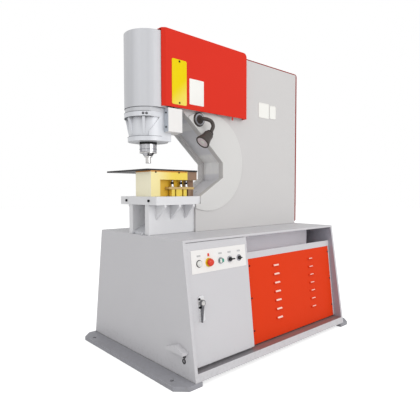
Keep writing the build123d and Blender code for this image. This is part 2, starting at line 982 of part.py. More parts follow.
def plate_solid(start, thickness, disc):
    """C-shaped plate; with disc it is cut to the round reinforcing cheek."""
    with BuildPart() as plate:
        with BuildSketch(Plane.XZ.offset(start)) as outline:
            Polygon(*plate_outline(), align=None)
            inner = outline.vertices().filter_by(
                lambda v: abs(v.X - frame_x(throat_reach)) < 1 and throat_low - 1 < v.Z < throat_high + 1
            )
            fillet(inner, throat_radius)
            if disc:
                with Locations((frame_x(cheek_reach), cheek_height)):
                    Circle(cheek_radius, mode=Mode.INTERSECT)
                with Locations((frame_x(throat_notch_reach), cheek_height)):
                    Rectangle(
                        2 * cheek_radius,
                        2 * cheek_radius,
                        align=(Align.MIN, Align.CENTER),
                        mode=Mode.INTERSECT,
                    )
                with Locations((frame_x(lamp_reach), lamp_height)):
                    Circle(lamp_base_radius + 2, mode=Mode.SUBTRACT)
        extrude(amount=thickness)
    return plate


side_plate_near = plate_solid(plate_gap_half, frame_plate, False)
side_plate_near.part.label = "side_plate_near"
export_step(side_plate_near.part, "parts/side_plate_near.step")

side_plate_far = plate_solid(-frame_outer, frame_plate, False)
side_plate_far.part.label = "side_plate_far"
export_step(side_plate_far.part, "parts/side_plate_far.step")

with BuildPart() as throat_cheeks:
    add(plate_solid(frame_outer, cheek_thickness, True).part)
    mirror(about=Plane.XZ)
throat_cheeks.part.label = "throat_cheeks"
export_step(throat_cheeks.part, "parts/throat_cheeks.step")

upper_slope = (throat_notch_height - throat_high) / (throat_reach - throat_notch_reach)
lower_slope = (throat_low - bolster_top) / (throat_reach - throat_lip_reach)


def throat_void(growth):
    """Side view of the throat, grown outwards by a distance."""
    with BuildSketch(Plane.XZ) as void:
        Polygon(
            (frame_x(0), throat_high + throat_reach * upper_slope),
            (frame_x(throat_reach), throat_high),
            (frame_x(throat_reach), throat_low),
            (frame_x(0), throat_low - throat_reach * lower_slope),
            align=None,
        )
        offset(amount=growth, kind=Kind.INTERSECTION)
    return void.sketch


with BuildPart() as throat_liner:
    with BuildSketch(Plane.XZ):
        add(throat_void(liner_recess + liner_thickness))
        add(throat_void(liner_recess), mode=Mode.SUBTRACT)
        with BuildSketch(Plane.XZ, mode=Mode.INTERSECT):
            with Locations((frame_x(liner_end_reach), throat_low)):
                Rectangle(2 * throat_reach, 2 * throat_reach, align=(Align.MIN, Align.CENTER))
            with Locations((frame_x(liner_top_reach), throat_high)):
                Rectangle(2 * throat_reach, 2 * throat_reach, align=(Align.MIN, Align.MIN))
    extrude(amount=plate_gap_half, both=True)
throat_liner.part.label = "throat_liner"
export_step(throat_liner.part, "parts/throat_liner.step")

web_rear = frame_reach - web_inset
web_top = frame_top - web_inset
web_front = 300.0

with BuildPart() as frame_web:
    with BuildSketch(Plane.XZ.offset(-plate_gap_half)):
        Polygon(
            (frame_x(web_rear), base_height),
            (frame_x(web_rear), web_top),
            (frame_x(web_front), web_top),
            (frame_x(web_front), web_top - web_thickness),
            (frame_x(web_rear - web_thickness), web_top - web_thickness),
            (frame_x(web_rear - web_thickness), base_height),
            align=None,
        )
    extrude(amount=2 * plate_gap_half)
frame_web.part.label = "frame_web"
export_step(frame_web.part, "parts/frame_web.step")


def back_profile(shrink):
    """Side view of the strip behind and above the side plates, made smaller by shrink."""
    low = base_height + back_cover_end
    rear = frame_x(frame_reach) + back_cover_depth - shrink
    top = frame_top + back_cover_rise - shrink
    with BuildSketch(Plane.XZ) as strip:
        with BuildLine():
            Polyline(
                (frame_x(frame_reach), low + shrink),
                (rear, low + shrink + back_cover_depth / 2),
                (rear, top - back_cover_radius),
            )
            RadiusArc((rear, top - back_cover_radius), (rear - back_cover_radius, top), -back_cover_radius)
            Polyline(
                (rear - back_cover_radius, top),
                (upper_end_x, top),
                (upper_end_x, frame_top),
                (frame_x(frame_reach), frame_top),
                (frame_x(frame_reach), low + shrink),
            )
        make_face()
    return strip.sketch


upper_start_x = frame_x(-upper_front)
upper_end_x = upper_start_x + upper_length

with BuildPart() as back_cover:
    with BuildSketch(Plane.XZ):
        add(back_profile(0))
    extrude(amount=frame_outer, both=True)
    with BuildSketch(Plane.XZ):
        add(back_profile(sheet))
    extrude(amount=frame_outer - sheet, both=True, mode=Mode.SUBTRACT)
back_cover.part.label = "back_cover"
export_step(back_cover.part, "parts/back_cover.step")

# Nose housing: a round core, a D-shaped skirt cut on the slant, and gussets under the flange
def nose_d(plane, radius):
    """Plan view with a round front and straight sides."""
    with BuildSketch(plane) as plan:
        with Locations((punch_x, 0)):
            Circle(radius)
        with Locations((punch_x, 0)):
            Rectangle(nose_rear, 2 * radius, align=(Align.MIN, Align.CENTER))
    return plan.sketch


def flange_plan(radius):
    """Round flange with flats in line with the side plates."""
    with BuildSketch(Plane.XY) as plan:
        with Locations((punch_x, 0)):
            Circle(radius)
            Rectangle(2 * radius, 2 * frame_outer, mode=Mode.INTERSECT)
    return plan.sketch


with BuildPart() as nose_housing:
    with BuildSketch(Plane.XY.offset(nose_bottom)):
        add(nose_d(Plane.XY, nose_radius))
    extrude(amount=flange_bottom - nose_bottom)
    with BuildSketch(Plane.XZ):
        Polygon(
            (frame_x(0), flange_bottom),
            (frame_x(-slant_front), flange_bottom - slant_drop + nose_plate),
            (frame_x(-slant_front), nose_bottom + nose_plate),
            (frame_x(-2 * nose_radius), nose_bottom + nose_plate),
            (frame_x(-2 * nose_radius), flange_bottom),
            align=None,
        )
    extrude(amount=2 * nose_radius, both=True, mode=Mode.SUBTRACT)
    with BuildSketch(Plane.XY.offset(nose_bottom)):
        with Locations((punch_x, 0)):
            Circle(tube_radius)
    extrude(amount=flange_bottom - nose_bottom)
    with BuildSketch(Plane.XY.offset(flange_bottom)):
        add(flange_plan(flange_radius))
    extrude(amount=flange_thickness)
    for angle in rib_angles:
        across = (sin(radians(angle)), -cos(radians(angle)), 0)
        outward = (cos(radians(angle)), sin(radians(angle)), 0)
        with BuildSketch(Plane((punch_x, 0, 0), x_dir=outward, z_dir=across)):
            Polygon(
                (tube_radius - rib_root, flange_bottom),
                (flange_radius - rib_root, flange_bottom),
                (tube_radius + rib_foot, flange_bottom - rib_height),
                (tube_radius - rib_root, flange_bottom - rib_height),
                align=None,
            )
        extrude(amount=rib_thickness / 2, both=True)
    with BuildSketch(Plane.XY.offset(nose_bottom)):
        with Locations((punch_x, 0)):
            Circle(rod_radius + guide_clearance)
    extrude(amount=flange_top - nose_bottom, mode=Mode.SUBTRACT)
nose_housing.part.label = "nose_housing"
export_step(nose_housing.part, "parts/nose_housing.step")

with BuildPart() as cylinder_barrel:
    with BuildSketch(Plane.XY.offset(barrel_bottom)):
        add(flange_plan(barrel_flange_radius))
    extrude(amount=barrel_flange)
    with BuildSketch(Plane.XY.offset(barrel_bottom)):
        with Locations((punch_x, 0)):
            Circle(tube_radius)
    extrude(amount=barrel_top - barrel_bottom)
    with BuildSketch(Plane.XY.offset(barrel_bottom)):
        with Locations((punch_x, 0)):
            Circle(barrel_bore)
    extrude(amount=barrel_top - barrel_wall - barrel_bottom, mode=Mode.SUBTRACT)
cylinder_barrel.part.label = "cylinder_barrel"
export_step(cylinder_barrel.part, "parts/cylinder_barrel.step")

with BuildPart() as dust_seal:
    with BuildSketch(Plane.XY.offset(seal_bottom)):
        with Locations((punch_x, 0)):
            Circle(seal_radius)
            Circle(rod_radius + running_clearance, mode=Mode.SUBTRACT)
    extrude(amount=seal_thickness)
dust_seal.part.label = "dust_seal"
export_step(dust_seal.part, "parts/dust_seal.step")

piston_top = barrel_top - barrel_wall - piston_head_gap

with BuildPart() as piston_rod:
    with BuildSketch(Plane.XY.offset(nut_top)):
        with Locations((punch_x, 0)):
            Circle(rod_radius)
    extrude(amount=piston_top - nut_top)
    with BuildSketch(Plane.XY.offset(piston_top - piston_height)):
        with Locations((punch_x, 0)):
            Circle(barrel_bore - running_clearance)
    extrude(amount=piston_height)
piston_rod.part.label = "piston_rod"
export_step(piston_rod.part, "parts/piston_rod.step")

notch_count = 6
notch_width = 14.0
notch_depth = 5.0

with BuildPart() as coupling_nut:
    with BuildSketch(Plane.XY.offset(nut_shoulder)):
        with Locations((punch_x, 0)):
            Circle(nut_radius)
    extrude(amount=nut_top - nut_shoulder)
    chamfer(coupling_nut.edges().group_by(Axis.Z)[0], nut_chamfer)
    with BuildSketch(Plane.XY.offset(nut_shoulder)):
        with Locations((punch_x, 0)):
            with PolarLocations(nut_radius, notch_count):
                Rectangle(2 * notch_depth, notch_width)
    extrude(amount=nut_top - nut_shoulder, mode=Mode.SUBTRACT)
    with BuildSketch(Plane.XY.offset(nut_shoulder)):
        with Locations((punch_x, 0)):
            Circle(nut_radius - 2 * notch_depth)
    with BuildSketch(Plane.XY.offset(nut_bottom)):
        with Locations((punch_x, 0)):
            Circle(nut_cone_radius)
    loft()
    with BuildSketch(Plane.XY.offset(nut_bottom)):
        with Locations((punch_x, 0)):
            Circle(punch_radius)
    extrude(amount=nut_top - nut_bottom, mode=Mode.SUBTRACT)
    with BuildSketch(Plane.XY.offset(nut_shoulder)):
        with Locations((punch_x, 0)):
            Circle(punch_head_radius)
    extrude(amount=nut_top - nut_shoulder, mode=Mode.SUBTRACT)
coupling_nut.part.label = "coupling_nut"
export_step(coupling_nut.part, "parts/coupling_nut.step")

with BuildPart() as punch:
    with BuildSketch(Plane.XY.offset(punch_tip)):
        with Locations((punch_x, 0)):
            Circle(punch_radius)
    extrude(amount=nut_top - punch_tip)
    with BuildSketch(Plane.XY.offset(nut_shoulder)):
        with Locations((punch_x, 0)):
            Circle(punch_head_radius)
    extrude(amount=nut_top - nut_shoulder)
    chamfer(punch.edges().group_by(Axis.Z)[0], punch_chamfer)
punch.part.label = "punch"
export_step(punch.part, "parts/punch.step")


def cover_plan(radius, tail):
    """Plan view of the cylinder cover at a radius."""
    with BuildSketch(Plane.XY) as plan:
        with Locations((punch_x, 0)):
            Circle(radius)
            Rectangle(tail, 2 * radius, align=(Align.MIN, Align.CENTER))
        with Locations((punch_x + tail, 0)):
            Rectangle(2 * radius, 2 * radius, align=(Align.MIN, Align.CENTER), mode=Mode.SUBTRACT)
    return plan.sketch


with BuildPart() as cylinder_cover:
    with BuildSketch(Plane.XY.offset(barrel_bottom + barrel_flange)):
        add(cover_plan(cover_radius, cover_tail))
    extrude(amount=cover_top - barrel_bottom - barrel_flange)
    with BuildSketch(Plane.XY.offset(barrel_bottom + barrel_flange)):
        add(cover_plan(cover_radius - sheet, cover_tail))
        with Locations((punch_x + cover_tail, 0)):
            Rectangle(cover_radius, 2 * (cover_radius - sheet), mode=Mode.ADD)
    extrude(amount=cover_top - sheet - barrel_bottom - barrel_flange, mode=Mode.SUBTRACT)
cylinder_cover.part.label = "cylinder_cover"
export_step(cylinder_cover.part, "parts/cylinder_cover.step")

# Red sheet cover over the cylinder's pipes, open below
def upper_block(inset):
    """The cover's outer form, or its inside when inset by the sheet."""
    half = upper_half - inset
    end = upper_end_x - inset
    mouth = cover_radius + cover_lap - inset
    with BuildPart() as block:
        with BuildSketch(Plane.XY.offset(upper_bottom)):
            Polygon(
                (upper_start_x, -mouth),
                (upper_start_x + upper_bevel, -half),
                (end, -half),
                (end, half),
                (upper_start_x + upper_bevel, half),
                (upper_start_x, mouth),
                align=None,
            )
        extrude(amount=upper_top - inset - upper_bottom)
        rear_top = block.edges().filter_by(Axis.Y).group_by(Axis.X)[-1].sort_by(Axis.Z)[-1]
        fillet(rear_top, upper_corner - inset)
    return block.part


with BuildPart() as upper_cover:
    add(upper_block(0))
    add(upper_block(sheet), mode=Mode.SUBTRACT)
    with BuildSketch(Plane.YZ.offset(upper_end_x - upper_corner)):
        with Locations((0, upper_bottom)):
            Rectangle(
                2 * (frame_outer + frame_clearance),
                frame_top + frame_clearance - upper_bottom,
                align=(Align.CENTER, Align.MIN),
            )
    extrude(amount=upper_corner, mode=Mode.SUBTRACT)
upper_cover.part.label = "upper_cover"
export_step(upper_cover.part, "parts/upper_cover.step")

# Spacers on the side plates carry the upper cover
bracket_height = 50.0
bracket_width = 40.0
bracket_reaches = (200.0, 600.0)
bracket_inset = 40.0
bracket_levels = (upper_bottom + bracket_inset, upper_top - bracket_inset - bracket_height / 2)

with BuildPart() as cover_brackets:
    for start in (frame_outer, -upper_half + sheet):
        with BuildSketch(Plane.XZ.offset(start)):
            for reach in bracket_reaches:
                for level in bracket_levels:
                    with Locations((frame_x(reach), level)):
                        Rectangle(bracket_width, bracket_height)
        extrude(amount=upper_half - sheet - frame_outer)
cover_brackets.part.label = "cover_brackets"
export_step(cover_brackets.part, "parts/cover_brackets.step")

# Limit switch box: a folded cover screwed through its front side
with BuildPart() as switch_box:
    with BuildSketch(Plane.XZ.offset(frame_outer)):
        with Locations((frame_x(switch_left), switch_bottom)):
            Rectangle(switch_width, switch_top - switch_bottom, align=(Align.MIN, Align.MIN))
    extrude(amount=switch_depth)
    fillet(switch_box.faces().sort_by(Axis.Y)[0].edges(), sheet)
    with BuildSketch(Plane.XZ.offset(frame_outer)):
        with Locations((frame_x(switch_left) + sheet, switch_bottom + sheet)):
            Rectangle(
                switch_width - 2 * sheet,
                switch_top - switch_bottom - 2 * sheet,
                align=(Align.MIN, Align.MIN),
            )
    extrude(amount=switch_depth - sheet, mode=Mode.SUBTRACT)
switch_box.part.label = "switch_box"
export_step(switch_box.part, "parts/switch_box.step")

# Round and socket heads on the head and the arm
bolt_radius = 7.0
bolt_height = 7.0
switch_screw_inset = 26.0
bolster_bolt_y = 112.0

with BuildPart() as frame_bolts:
    with BuildSketch(Plane.YZ.offset(frame_x(switch_left))):
        for level in (switch_bottom + switch_screw_inset, switch_top - switch_screw_inset):
            with Locations((-frame_outer - switch_depth / 2, level)):
                Circle(screw_head)
    extrude(amount=-screw_head / 2)
    with BuildSketch(Plane.YZ.offset(frame_x(-bolster_front) - bolt_height)):
        with Locations((-bolster_bolt_y, arm_top + bolster_thickness / 2)):
            Circle(bolt_radius)
        with Locations((bolster_bolt_y, arm_top + bolster_thickness / 2)):
            Circle(bolt_radius)
    extrude(amount=bolt_height)
frame_bolts.part.label = "frame_bolts"
export_step(frame_bolts.part, "parts/frame_bolts.step")

# Lower arm: two thick cheeks with the slug chute between them
arm_inner = arm_half - arm_wall
arm_length = arm_front + seam_reach
chute_drop = 74.0
chute_thickness = 6.0
chute_rear = 96.0
chute_front_height = 12.0
lip_radius = 52.0

with BuildPart() as arm_body:
    with BuildSketch(Plane.XY.offset(base_height)):
        with Locations((frame_x(-arm_front), 0)):
            Rectangle(arm_length, 2 * arm_half, align=(Align.MIN, Align.CENTER))
        with Locations((frame_x(-arm_front), 0)):
            Rectangle(
                arm_length - arm_wall, 2 * arm_inner, align=(Align.MIN, Align.CENTER), mode=Mode.SUBTRACT
            )
    extrude(amount=arm_top - base_height)
    for reach in gusset_places:
        for side in (-1, 1):
            with BuildSketch(Plane.YZ.offset(frame_x(reach) - gusset_thickness / 2)):
                Polygon(
                    (side * (arm_half - sheet), arm_top - gusset_drop),
                    (side * (arm_half - sheet), arm_top),
                    (side * bolster_half, arm_top),
                    (side * bolster_half, arm_top - gusset_thickness),
                    (side * arm_half, arm_top - gusset_drop),
                    align=None,
                )
            extrude(amount=gusset_thickness)
arm_body.part.label = "arm_body"
export_step(arm_body.part, "parts/arm_body.step")

chute_low = base_height + chute_front_height
chute_high = chute_low + chute_drop
chute_back = frame_x(arm_length - arm_front - arm_wall)

with BuildPart() as slug_chute:
    with BuildSketch(Plane.XZ):
        Polygon(
            (frame_x(-arm_front), base_height),
            (frame_x(-arm_front), chute_low),
            (frame_x(chute_rear), chute_high),
            (chute_back, chute_high),
            (chute_back, chute_high - chute_thickness),
            (frame_x(chute_rear + chute_thickness), chute_high - chute_thickness),
            (frame_x(-arm_front + 2 * chute_thickness), base_height),
            align=None,
        )
    extrude(amount=arm_inner, both=True)
    with BuildSketch(Plane.XY.offset(base_height)):
        with Locations((frame_x(-arm_front), 0)):
            Circle(lip_radius)
            Circle(lip_radius - chute_thickness, mode=Mode.SUBTRACT)
            Rectangle(2 * lip_radius, 2 * lip_radius, align=(Align.MIN, Align.CENTER), mode=Mode.SUBTRACT)
        with Locations((-half_length, 0)):
            Rectangle(lip_radius, 2 * lip_radius, align=(Align.MAX, Align.CENTER), mode=Mode.SUBTRACT)
    extrude(amount=chute_front_height)
slug_chute.part.label = "slug_chute"
export_step(slug_chute.part, "parts/slug_chute.step")

with BuildPart() as bolster:
    with BuildSketch(Plane.XY.offset(arm_top)):
        with Locations((frame_x(-bolster_front), 0)):
            Rectangle(bolster_front + bolster_reach, 2 * bolster_half, align=(Align.MIN, Align.CENTER))
            Rectangle(bolster_front + throat_lip_reach, 2 * frame_outer, align=(Align.MIN, Align.CENTER))
        with Locations((punch_x, 0)):
            Circle(slug_hole, mode=Mode.SUBTRACT)
    extrude(amount=bolster_thickness)
    chamfer(bolster.edges().filter_by(Axis.Z).group_by(Axis.X)[0], bolster_chamfer)
bolster.part.label = "bolster"
export_step(bolster.part, "parts/bolster.step")

# Die block: recessed on the near side, with a tail towards the throat
clamp_top = bolster_top + clamp_height + clamp_thickness
clamp_y = -block_half + recess_depth / 2
bar_depth = 32.0
die_bottom = table_top - die_height

with BuildPart() as die_block:
    with BuildSketch(Plane.XY.offset(bolster_top)):
        with Locations((frame_x(-block_front), 0)):
            Rectangle(block_length, 2 * block_half, align=(Align.MIN, Align.CENTER))
        with Locations((frame_x(-block_front + block_length), -block_half + tail_setback)):
            Rectangle(block_tail, 2 * block_half - tail_setback, align=(Align.MIN, Align.MIN))
    extrude(amount=block_top - bolster_top)
    with BuildSketch(Plane.XY.offset(bolster_top)):
        with Locations((frame_x(recess_reach), -block_half)):
            Rectangle(block_length + block_tail, recess_depth, align=(Align.MIN, Align.MIN))
    extrude(amount=recess_height, mode=Mode.SUBTRACT)
    with BuildSketch(Plane.XY.offset(bolster_top)):
        with Locations((punch_x, 0)):
            Circle(slug_hole)
    extrude(amount=block_top - bolster_top, mode=Mode.SUBTRACT)
    with BuildSketch(Plane.XY.offset(die_bottom)):
        with Locations((punch_x, 0)):
            Circle(die_radius)
    extrude(amount=die_height, mode=Mode.SUBTRACT)
die_block.part.label = "die_block"
export_step(die_block.part, "parts/die_block.step")

with BuildPart() as die_clamp_bars:
    with BuildSketch(Plane.XY.offset(bolster_top)):
        for reach, width in clamp_bars:
            with Locations((frame_x(reach), clamp_y)):
                Rectangle(width, bar_depth, align=(Align.MIN, Align.CENTER))
    extrude(amount=clamp_height)
die_clamp_bars.part.label = "die_clamp_bars"
export_step(die_clamp_bars.part, "parts/die_clamp_bars.step")

with BuildPart() as die:
    with BuildSketch(Plane.XY.offset(die_bottom)):
        with Locations((punch_x, 0)):
            Circle(die_radius)
            Circle(punch_radius + die_clearance, mode=Mode.SUBTRACT)
    extrude(amount=die_height)
die.part.label = "die"
export_step(die.part, "parts/die.step")

with BuildPart() as table_plate:
    with BuildSketch(Plane.XY.offset(block_top)):
        with Locations((frame_x(-table_front), -block_half)):
            Rectangle(table_length, block_half + table_far, align=(Align.MIN, Align.MIN))
        with Locations((punch_x, 0)):
            Circle(die_radius, mode=Mode.SUBTRACT)
    extrude(amount=table_thickness)
table_plate.part.label = "table_plate"
export_step(table_plate.part, "parts/table_plate.step")

with BuildPart() as clamp_plate:
    with BuildSketch(Plane.XY.offset(bolster_top + clamp_height)):
        with Locations((frame_x(clamp_left), clamp_y)):
            Rectangle(clamp_length, recess_depth, align=(Align.MIN, Align.CENTER))
    extrude(amount=clamp_thickness)
clamp_plate.part.label = "clamp_plate"
export_step(clamp_plate.part, "parts/clamp_plate.step")

stud_collar_radius = 10.0
stud_collar_height = 17.0
stud_taper = 8
stud_cap_radius = 6.5
stud_cap_height = 20.0

with BuildPart() as clamp_studs:
    with BuildSketch(Plane.XY.offset(clamp_top)):
        for reach in stud_places:
            with Locations((frame_x(reach), clamp_y)):
                Circle(stud_collar_radius)
    extrude(amount=stud_collar_height, taper=stud_taper)
    with BuildSketch(Plane.XY.offset(clamp_top + stud_collar_height)):
        for reach in stud_places:
            with Locations((frame_x(reach), clamp_y)):
                Circle(stud_cap_radius)
    extrude(amount=stud_cap_height)
clamp_studs.part.label = "clamp_studs"
export_step(clamp_studs.part, "parts/clamp_studs.step")

# Work lamp on the near side plate
lamp_x = frame_x(lamp_reach)
lamp_face = Plane.XZ.offset(frame_outer)

with BuildPart() as lamp_base:
    with BuildSketch(lamp_face):
        with Locations((lamp_x, lamp_height)):
            Circle(lamp_base_radius)
    extrude(amount=lamp_base_depth)
    fillet(lamp_base.edges().sort_by(Axis.Y)[0], lamp_base_edge)
    with BuildSketch(lamp_face.offset(lamp_base_depth)):
        with Locations((lamp_x, lamp_height)):
            Circle(lamp_neck_radius + lamp_boss_lip)
    extrude(amount=lamp_boss_depth, taper=lamp_boss_taper)
lamp_base.part.label = "lamp_base"
export_step(lamp_base.part, "parts/lamp_base.step")

# The neck leaves the base, turns along the machine and drops to the head's ball
neck_run = 38.0
neck_out = 46.0
neck_elbow = (70.0, 20.0)
neck_drop = (36.0, 74.0)
neck_bend = 30.0
neck_start = -frame_outer - lamp_base_depth - lamp_boss_depth - button_clearance
neck_points = (
    (lamp_x, neck_start, lamp_height),
    (lamp_x, neck_start - neck_run, lamp_height),
    (lamp_x + neck_elbow[0], neck_start - neck_out, lamp_height - neck_elbow[1]),
    (lamp_x + neck_drop[0], neck_start - neck_out, lamp_height - neck_drop[1]),
)
head_axis = Vector(-1, 0, -1).normalized()

with BuildPart() as lamp_neck:
    with BuildLine():
        FilletPolyline(*neck_points, radius=neck_bend)
    with BuildSketch(Plane(neck_points[0], x_dir=(1, 0, 0), z_dir=(0, -1, 0))):
        Circle(lamp_neck_radius)
    sweep()
    with Locations(neck_points[-1]):
        Sphere(lamp_ball_radius)
lamp_neck.part.label = "lamp_neck"
export_step(lamp_neck.part, "parts/lamp_neck.step")

neck_end = Vector(*neck_points[-1])
lens_radius = 35.0
lens_thickness = 4.0
lens_depth = 8.0
shade_steps = ((0.0, 0.0), (17.0, 0.0), (20.0, 10.0), (29.0, 18.0), (31.0, 42.0))
shade_rim = 12.0
reflector_radius = 22.0

with BuildPart() as lamp_head:
    head_plane = Plane(
        neck_end + head_axis * (lamp_ball_radius - socket_grip), x_dir=(0, 1, 0), z_dir=head_axis
    )
    with BuildSketch(Plane(head_plane.origin, x_dir=head_plane.x_dir, z_dir=-head_plane.y_dir)):
        with BuildLine():
            Polyline(*shade_steps)
            Line(shade_steps[-1], (lamp_head_radius, lamp_head_length - shade_rim))
            Polyline(
                (lamp_head_radius, lamp_head_length - shade_rim),
                (lamp_head_radius, lamp_head_length),
                (lens_radius, lamp_head_length),
                (lens_radius, lamp_head_length - lens_depth - button_clearance),
                (reflector_radius, shade_steps[-1][1]),
                (0, shade_steps[-1][1]),
                (0, 0),
            )
        make_face()
    revolve(axis=Axis(head_plane.origin, head_axis))
    with Locations(neck_points[-1]):
        Sphere(lamp_ball_radius + guide_clearance, mode=Mode.SUBTRACT)
lamp_head.part.label = "lamp_head"
export_step(lamp_head.part, "parts/lamp_head.step")

with BuildPart() as lamp_lens:
    lens_plane = head_plane.offset(lamp_head_length - lens_depth)
    with BuildSketch(lens_plane):
        Circle(lens_radius - button_clearance)
    extrude(amount=lens_thickness)
lamp_lens.part.label = "lamp_lens"
export_step(lamp_lens.part, "parts/lamp_lens.step")

# Pipes from the valve block up inside the C-frame to the cylinder
pipe_knee = base_height + pipe_knee_rise
pipe_back = frame_x(pipe_reach)
pipe_levels = (upper_bottom + pipe_port_rise, upper_bottom + pipe_port_rise + pipe_port_pitch)
pipe_bend = 40.0
pipe_port_x = punch_x + sqrt(tube_radius**2 - (pipe_spread - pipe_radius) ** 2) + button_clearance

with BuildPart() as oil_pipes:
    for side, level in zip((-1, 1), pipe_levels):
        y = side * pipe_spread
        with BuildLine():
            FilletPolyline(
                (pipe_column, y, valve_base + valve_height),
                (pipe_column, y, pipe_knee),
                (pipe_back, y, pipe_knee + pipe_slope),
                (pipe_back, y, level),
                (pipe_port_x, y, level),
                radius=pipe_bend,
            )
        with BuildSketch(Plane((pipe_column, y, valve_base + valve_height))):
            Circle(pipe_radius)
        sweep()
oil_pipes.part.label = "oil_pipes"
export_step(oil_pipes.part, "parts/oil_pipes.step")

# Cable hood over the glands in the front end plate
hood_width = 138.0
hood_y = -375.0
hood_low = 145.0
hood_eaves = 158.0
hood_peak = 180.0
hood_depth = 34.0

with BuildPart() as cable_hood:
    with BuildSketch(Plane.YZ.offset(-half_length)):
        Polygon(
            (hood_y - hood_width / 2, hood_low),
            (hood_y + hood_width / 2, hood_low),
            (hood_y + hood_width / 2, hood_eaves),
            (hood_y, hood_peak),
            (hood_y - hood_width / 2, hood_eaves),
            align=None,
        )
    extrude(amount=-hood_depth)
    with BuildSketch(Plane.YZ.offset(-half_length)):
        Polygon(
            (hood_y - hood_width / 2 + sheet, hood_low),
            (hood_y + hood_width / 2 - sheet, hood_low),
            (hood_y + hood_width / 2 - sheet, hood_eaves - sheet),
            (hood_y, hood_peak - sheet),
            (hood_y - hood_width / 2 + sheet, hood_eaves - sheet),
            align=None,
        )
    extrude(amount=-(hood_depth - sheet), mode=Mode.SUBTRACT)
cable_hood.part.label = "cable_hood"
export_step(cable_hood.part, "parts/cable_hood.step")
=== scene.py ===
import math

import bmesh
import bpy
from mathutils import Matrix, Vector


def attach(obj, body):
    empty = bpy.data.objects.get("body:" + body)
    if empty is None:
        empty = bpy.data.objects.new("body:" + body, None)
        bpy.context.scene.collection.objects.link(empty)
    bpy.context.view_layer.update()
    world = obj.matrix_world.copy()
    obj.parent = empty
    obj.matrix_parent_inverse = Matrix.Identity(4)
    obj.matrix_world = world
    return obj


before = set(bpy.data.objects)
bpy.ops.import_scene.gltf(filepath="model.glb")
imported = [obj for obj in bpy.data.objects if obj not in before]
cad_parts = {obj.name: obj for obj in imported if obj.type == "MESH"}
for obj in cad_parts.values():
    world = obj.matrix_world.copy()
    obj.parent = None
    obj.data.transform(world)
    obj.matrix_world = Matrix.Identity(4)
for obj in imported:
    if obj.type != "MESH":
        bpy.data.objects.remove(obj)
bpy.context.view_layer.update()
print("frame loaded:", len(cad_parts), "nodes")

# Camera, from the vanishing points of the cabinet and the frame plates
cameraView = {
    "place": (-1.8935, -1.9395, 0.9297),
    "yaw": 42.458,
    "down": 2.628,
    "roll": -0.075,
    "lens": 35.07,
    "sensor": 36.0,
    "clipEnd": 60,
}


def addCamera(view):
    cameraData = bpy.data.cameras.new("photoCamera")
    camera = bpy.data.objects.new("photoCamera", cameraData)
    bpy.context.scene.collection.objects.link(camera)
    cameraData.sensor_fit = "HORIZONTAL"
    cameraData.sensor_width = view["sensor"]
    cameraData.lens = view["lens"]
    cameraData.clip_end = view["clipEnd"]
    turn = Matrix.Rotation(math.radians(-view["yaw"]), 4, "Z")
    tilt = Matrix.Rotation(math.radians(90 - view["down"]), 4, "X")
    roll = Matrix.Rotation(math.radians(view["roll"]), 4, "Z")
    camera.matrix_world = Matrix.Translation(view["place"]) @ turn @ tilt @ roll
    bpy.context.scene.camera = camera


addCamera(cameraView)
bpy.context.scene.view_settings.view_transform = "Standard"

studio = {
    "softStrength": 0.74,
    "seenStrength": 1.0,
    "colour": (1.0, 1.0, 1.0, 1),
    "aim": (0.0, -0.2, 0.9),
    "lights": {
        "keyLight": {"place": (0.2, -5.2, 2.4), "size": 3.2, "power": 74},
        "fillLight": {"place": (-4.6, -2.2, 3.0), "size": 2.6, "power": 16},
    },
}


def addLight(name, values, aim):
    lightData = bpy.data.lights.new(name, "AREA")
    lightData.shape = "DISK"
    lightData.size = values["size"]
    lightData.energy = values["power"]
    light = bpy.data.objects.new(name, lightData)
    bpy.context.scene.collection.objects.link(light)
    direction = Vector(aim) - Vector(values["place"])
    turn = direction.to_track_quat("-Z", "Y").to_matrix().to_4x4()
    light.matrix_world = Matrix.Translation(values["place"]) @ turn


def addStudio(values):
    world = bpy.data.worlds.new("studioWorld")
    bpy.context.scene.world = world
    world.use_nodes = True
    nodes = world.node_tree.nodes
    links = world.node_tree.links
    nodes.clear()
    ray = nodes.new("ShaderNodeLightPath")
    mix = nodes.new("ShaderNodeMixShader")
    output = nodes.new("ShaderNodeOutputWorld")
    links.new(ray.outputs["Is Camera Ray"], mix.inputs[0])
    for socket, strength in enumerate((values["softStrength"], values["seenStrength"]), 1):
        background = nodes.new("ShaderNodeBackground")
        background.inputs["Color"].default_value = values["colour"]
        background.inputs["Strength"].default_value = strength
        links.new(background.outputs[0], mix.inputs[socket])
    links.new(mix.outputs[0], output.inputs["Surface"])
    for name, light in values["lights"].items():
        addLight(name, light, values["aim"])


addStudio(studio)
print("camera and lights placed")


class Wire:
    # an output socket; arithmetic on it adds Math nodes
    def __init__(self, surface, socket):
        self.surface = surface
        self.socket = socket

    def maths(self, operation, *values):
        return self.surface.add("ShaderNodeMath", {"operation": operation}, dict(enumerate(values)))

    def __add__(self, other):
        return self.maths("ADD", self, other)

    def __sub__(self, other):
        return self.maths("SUBTRACT", self, other)

    def __rsub__(self, other):
        return self.maths("SUBTRACT", other, self)

    def __mul__(self, other):
        return self.maths("MULTIPLY", self, other)

    def above(self, low, high):
        # 0 below low, 1 above high, smooth between
        settings = {"interpolation_type": "SMOOTHSTEP"}
        sockets = {"Value": self, "From Min": low, "From Max": high}
        return self.surface.add("ShaderNodeMapRange", settings, sockets)

    def between(self, rise, fall):
        # 1 inside a band whose two soft edges are rise and fall
        return self.above(*rise) * (1 - self.above(*fall))

    def atMost(self, other):
        return self.maths("MINIMUM", self, other)


sampled = {"shelter": 8, "bevel": 4, "creviceEdge": (0.30, 0.85), "edgeBand": (0.03, 0.2)}


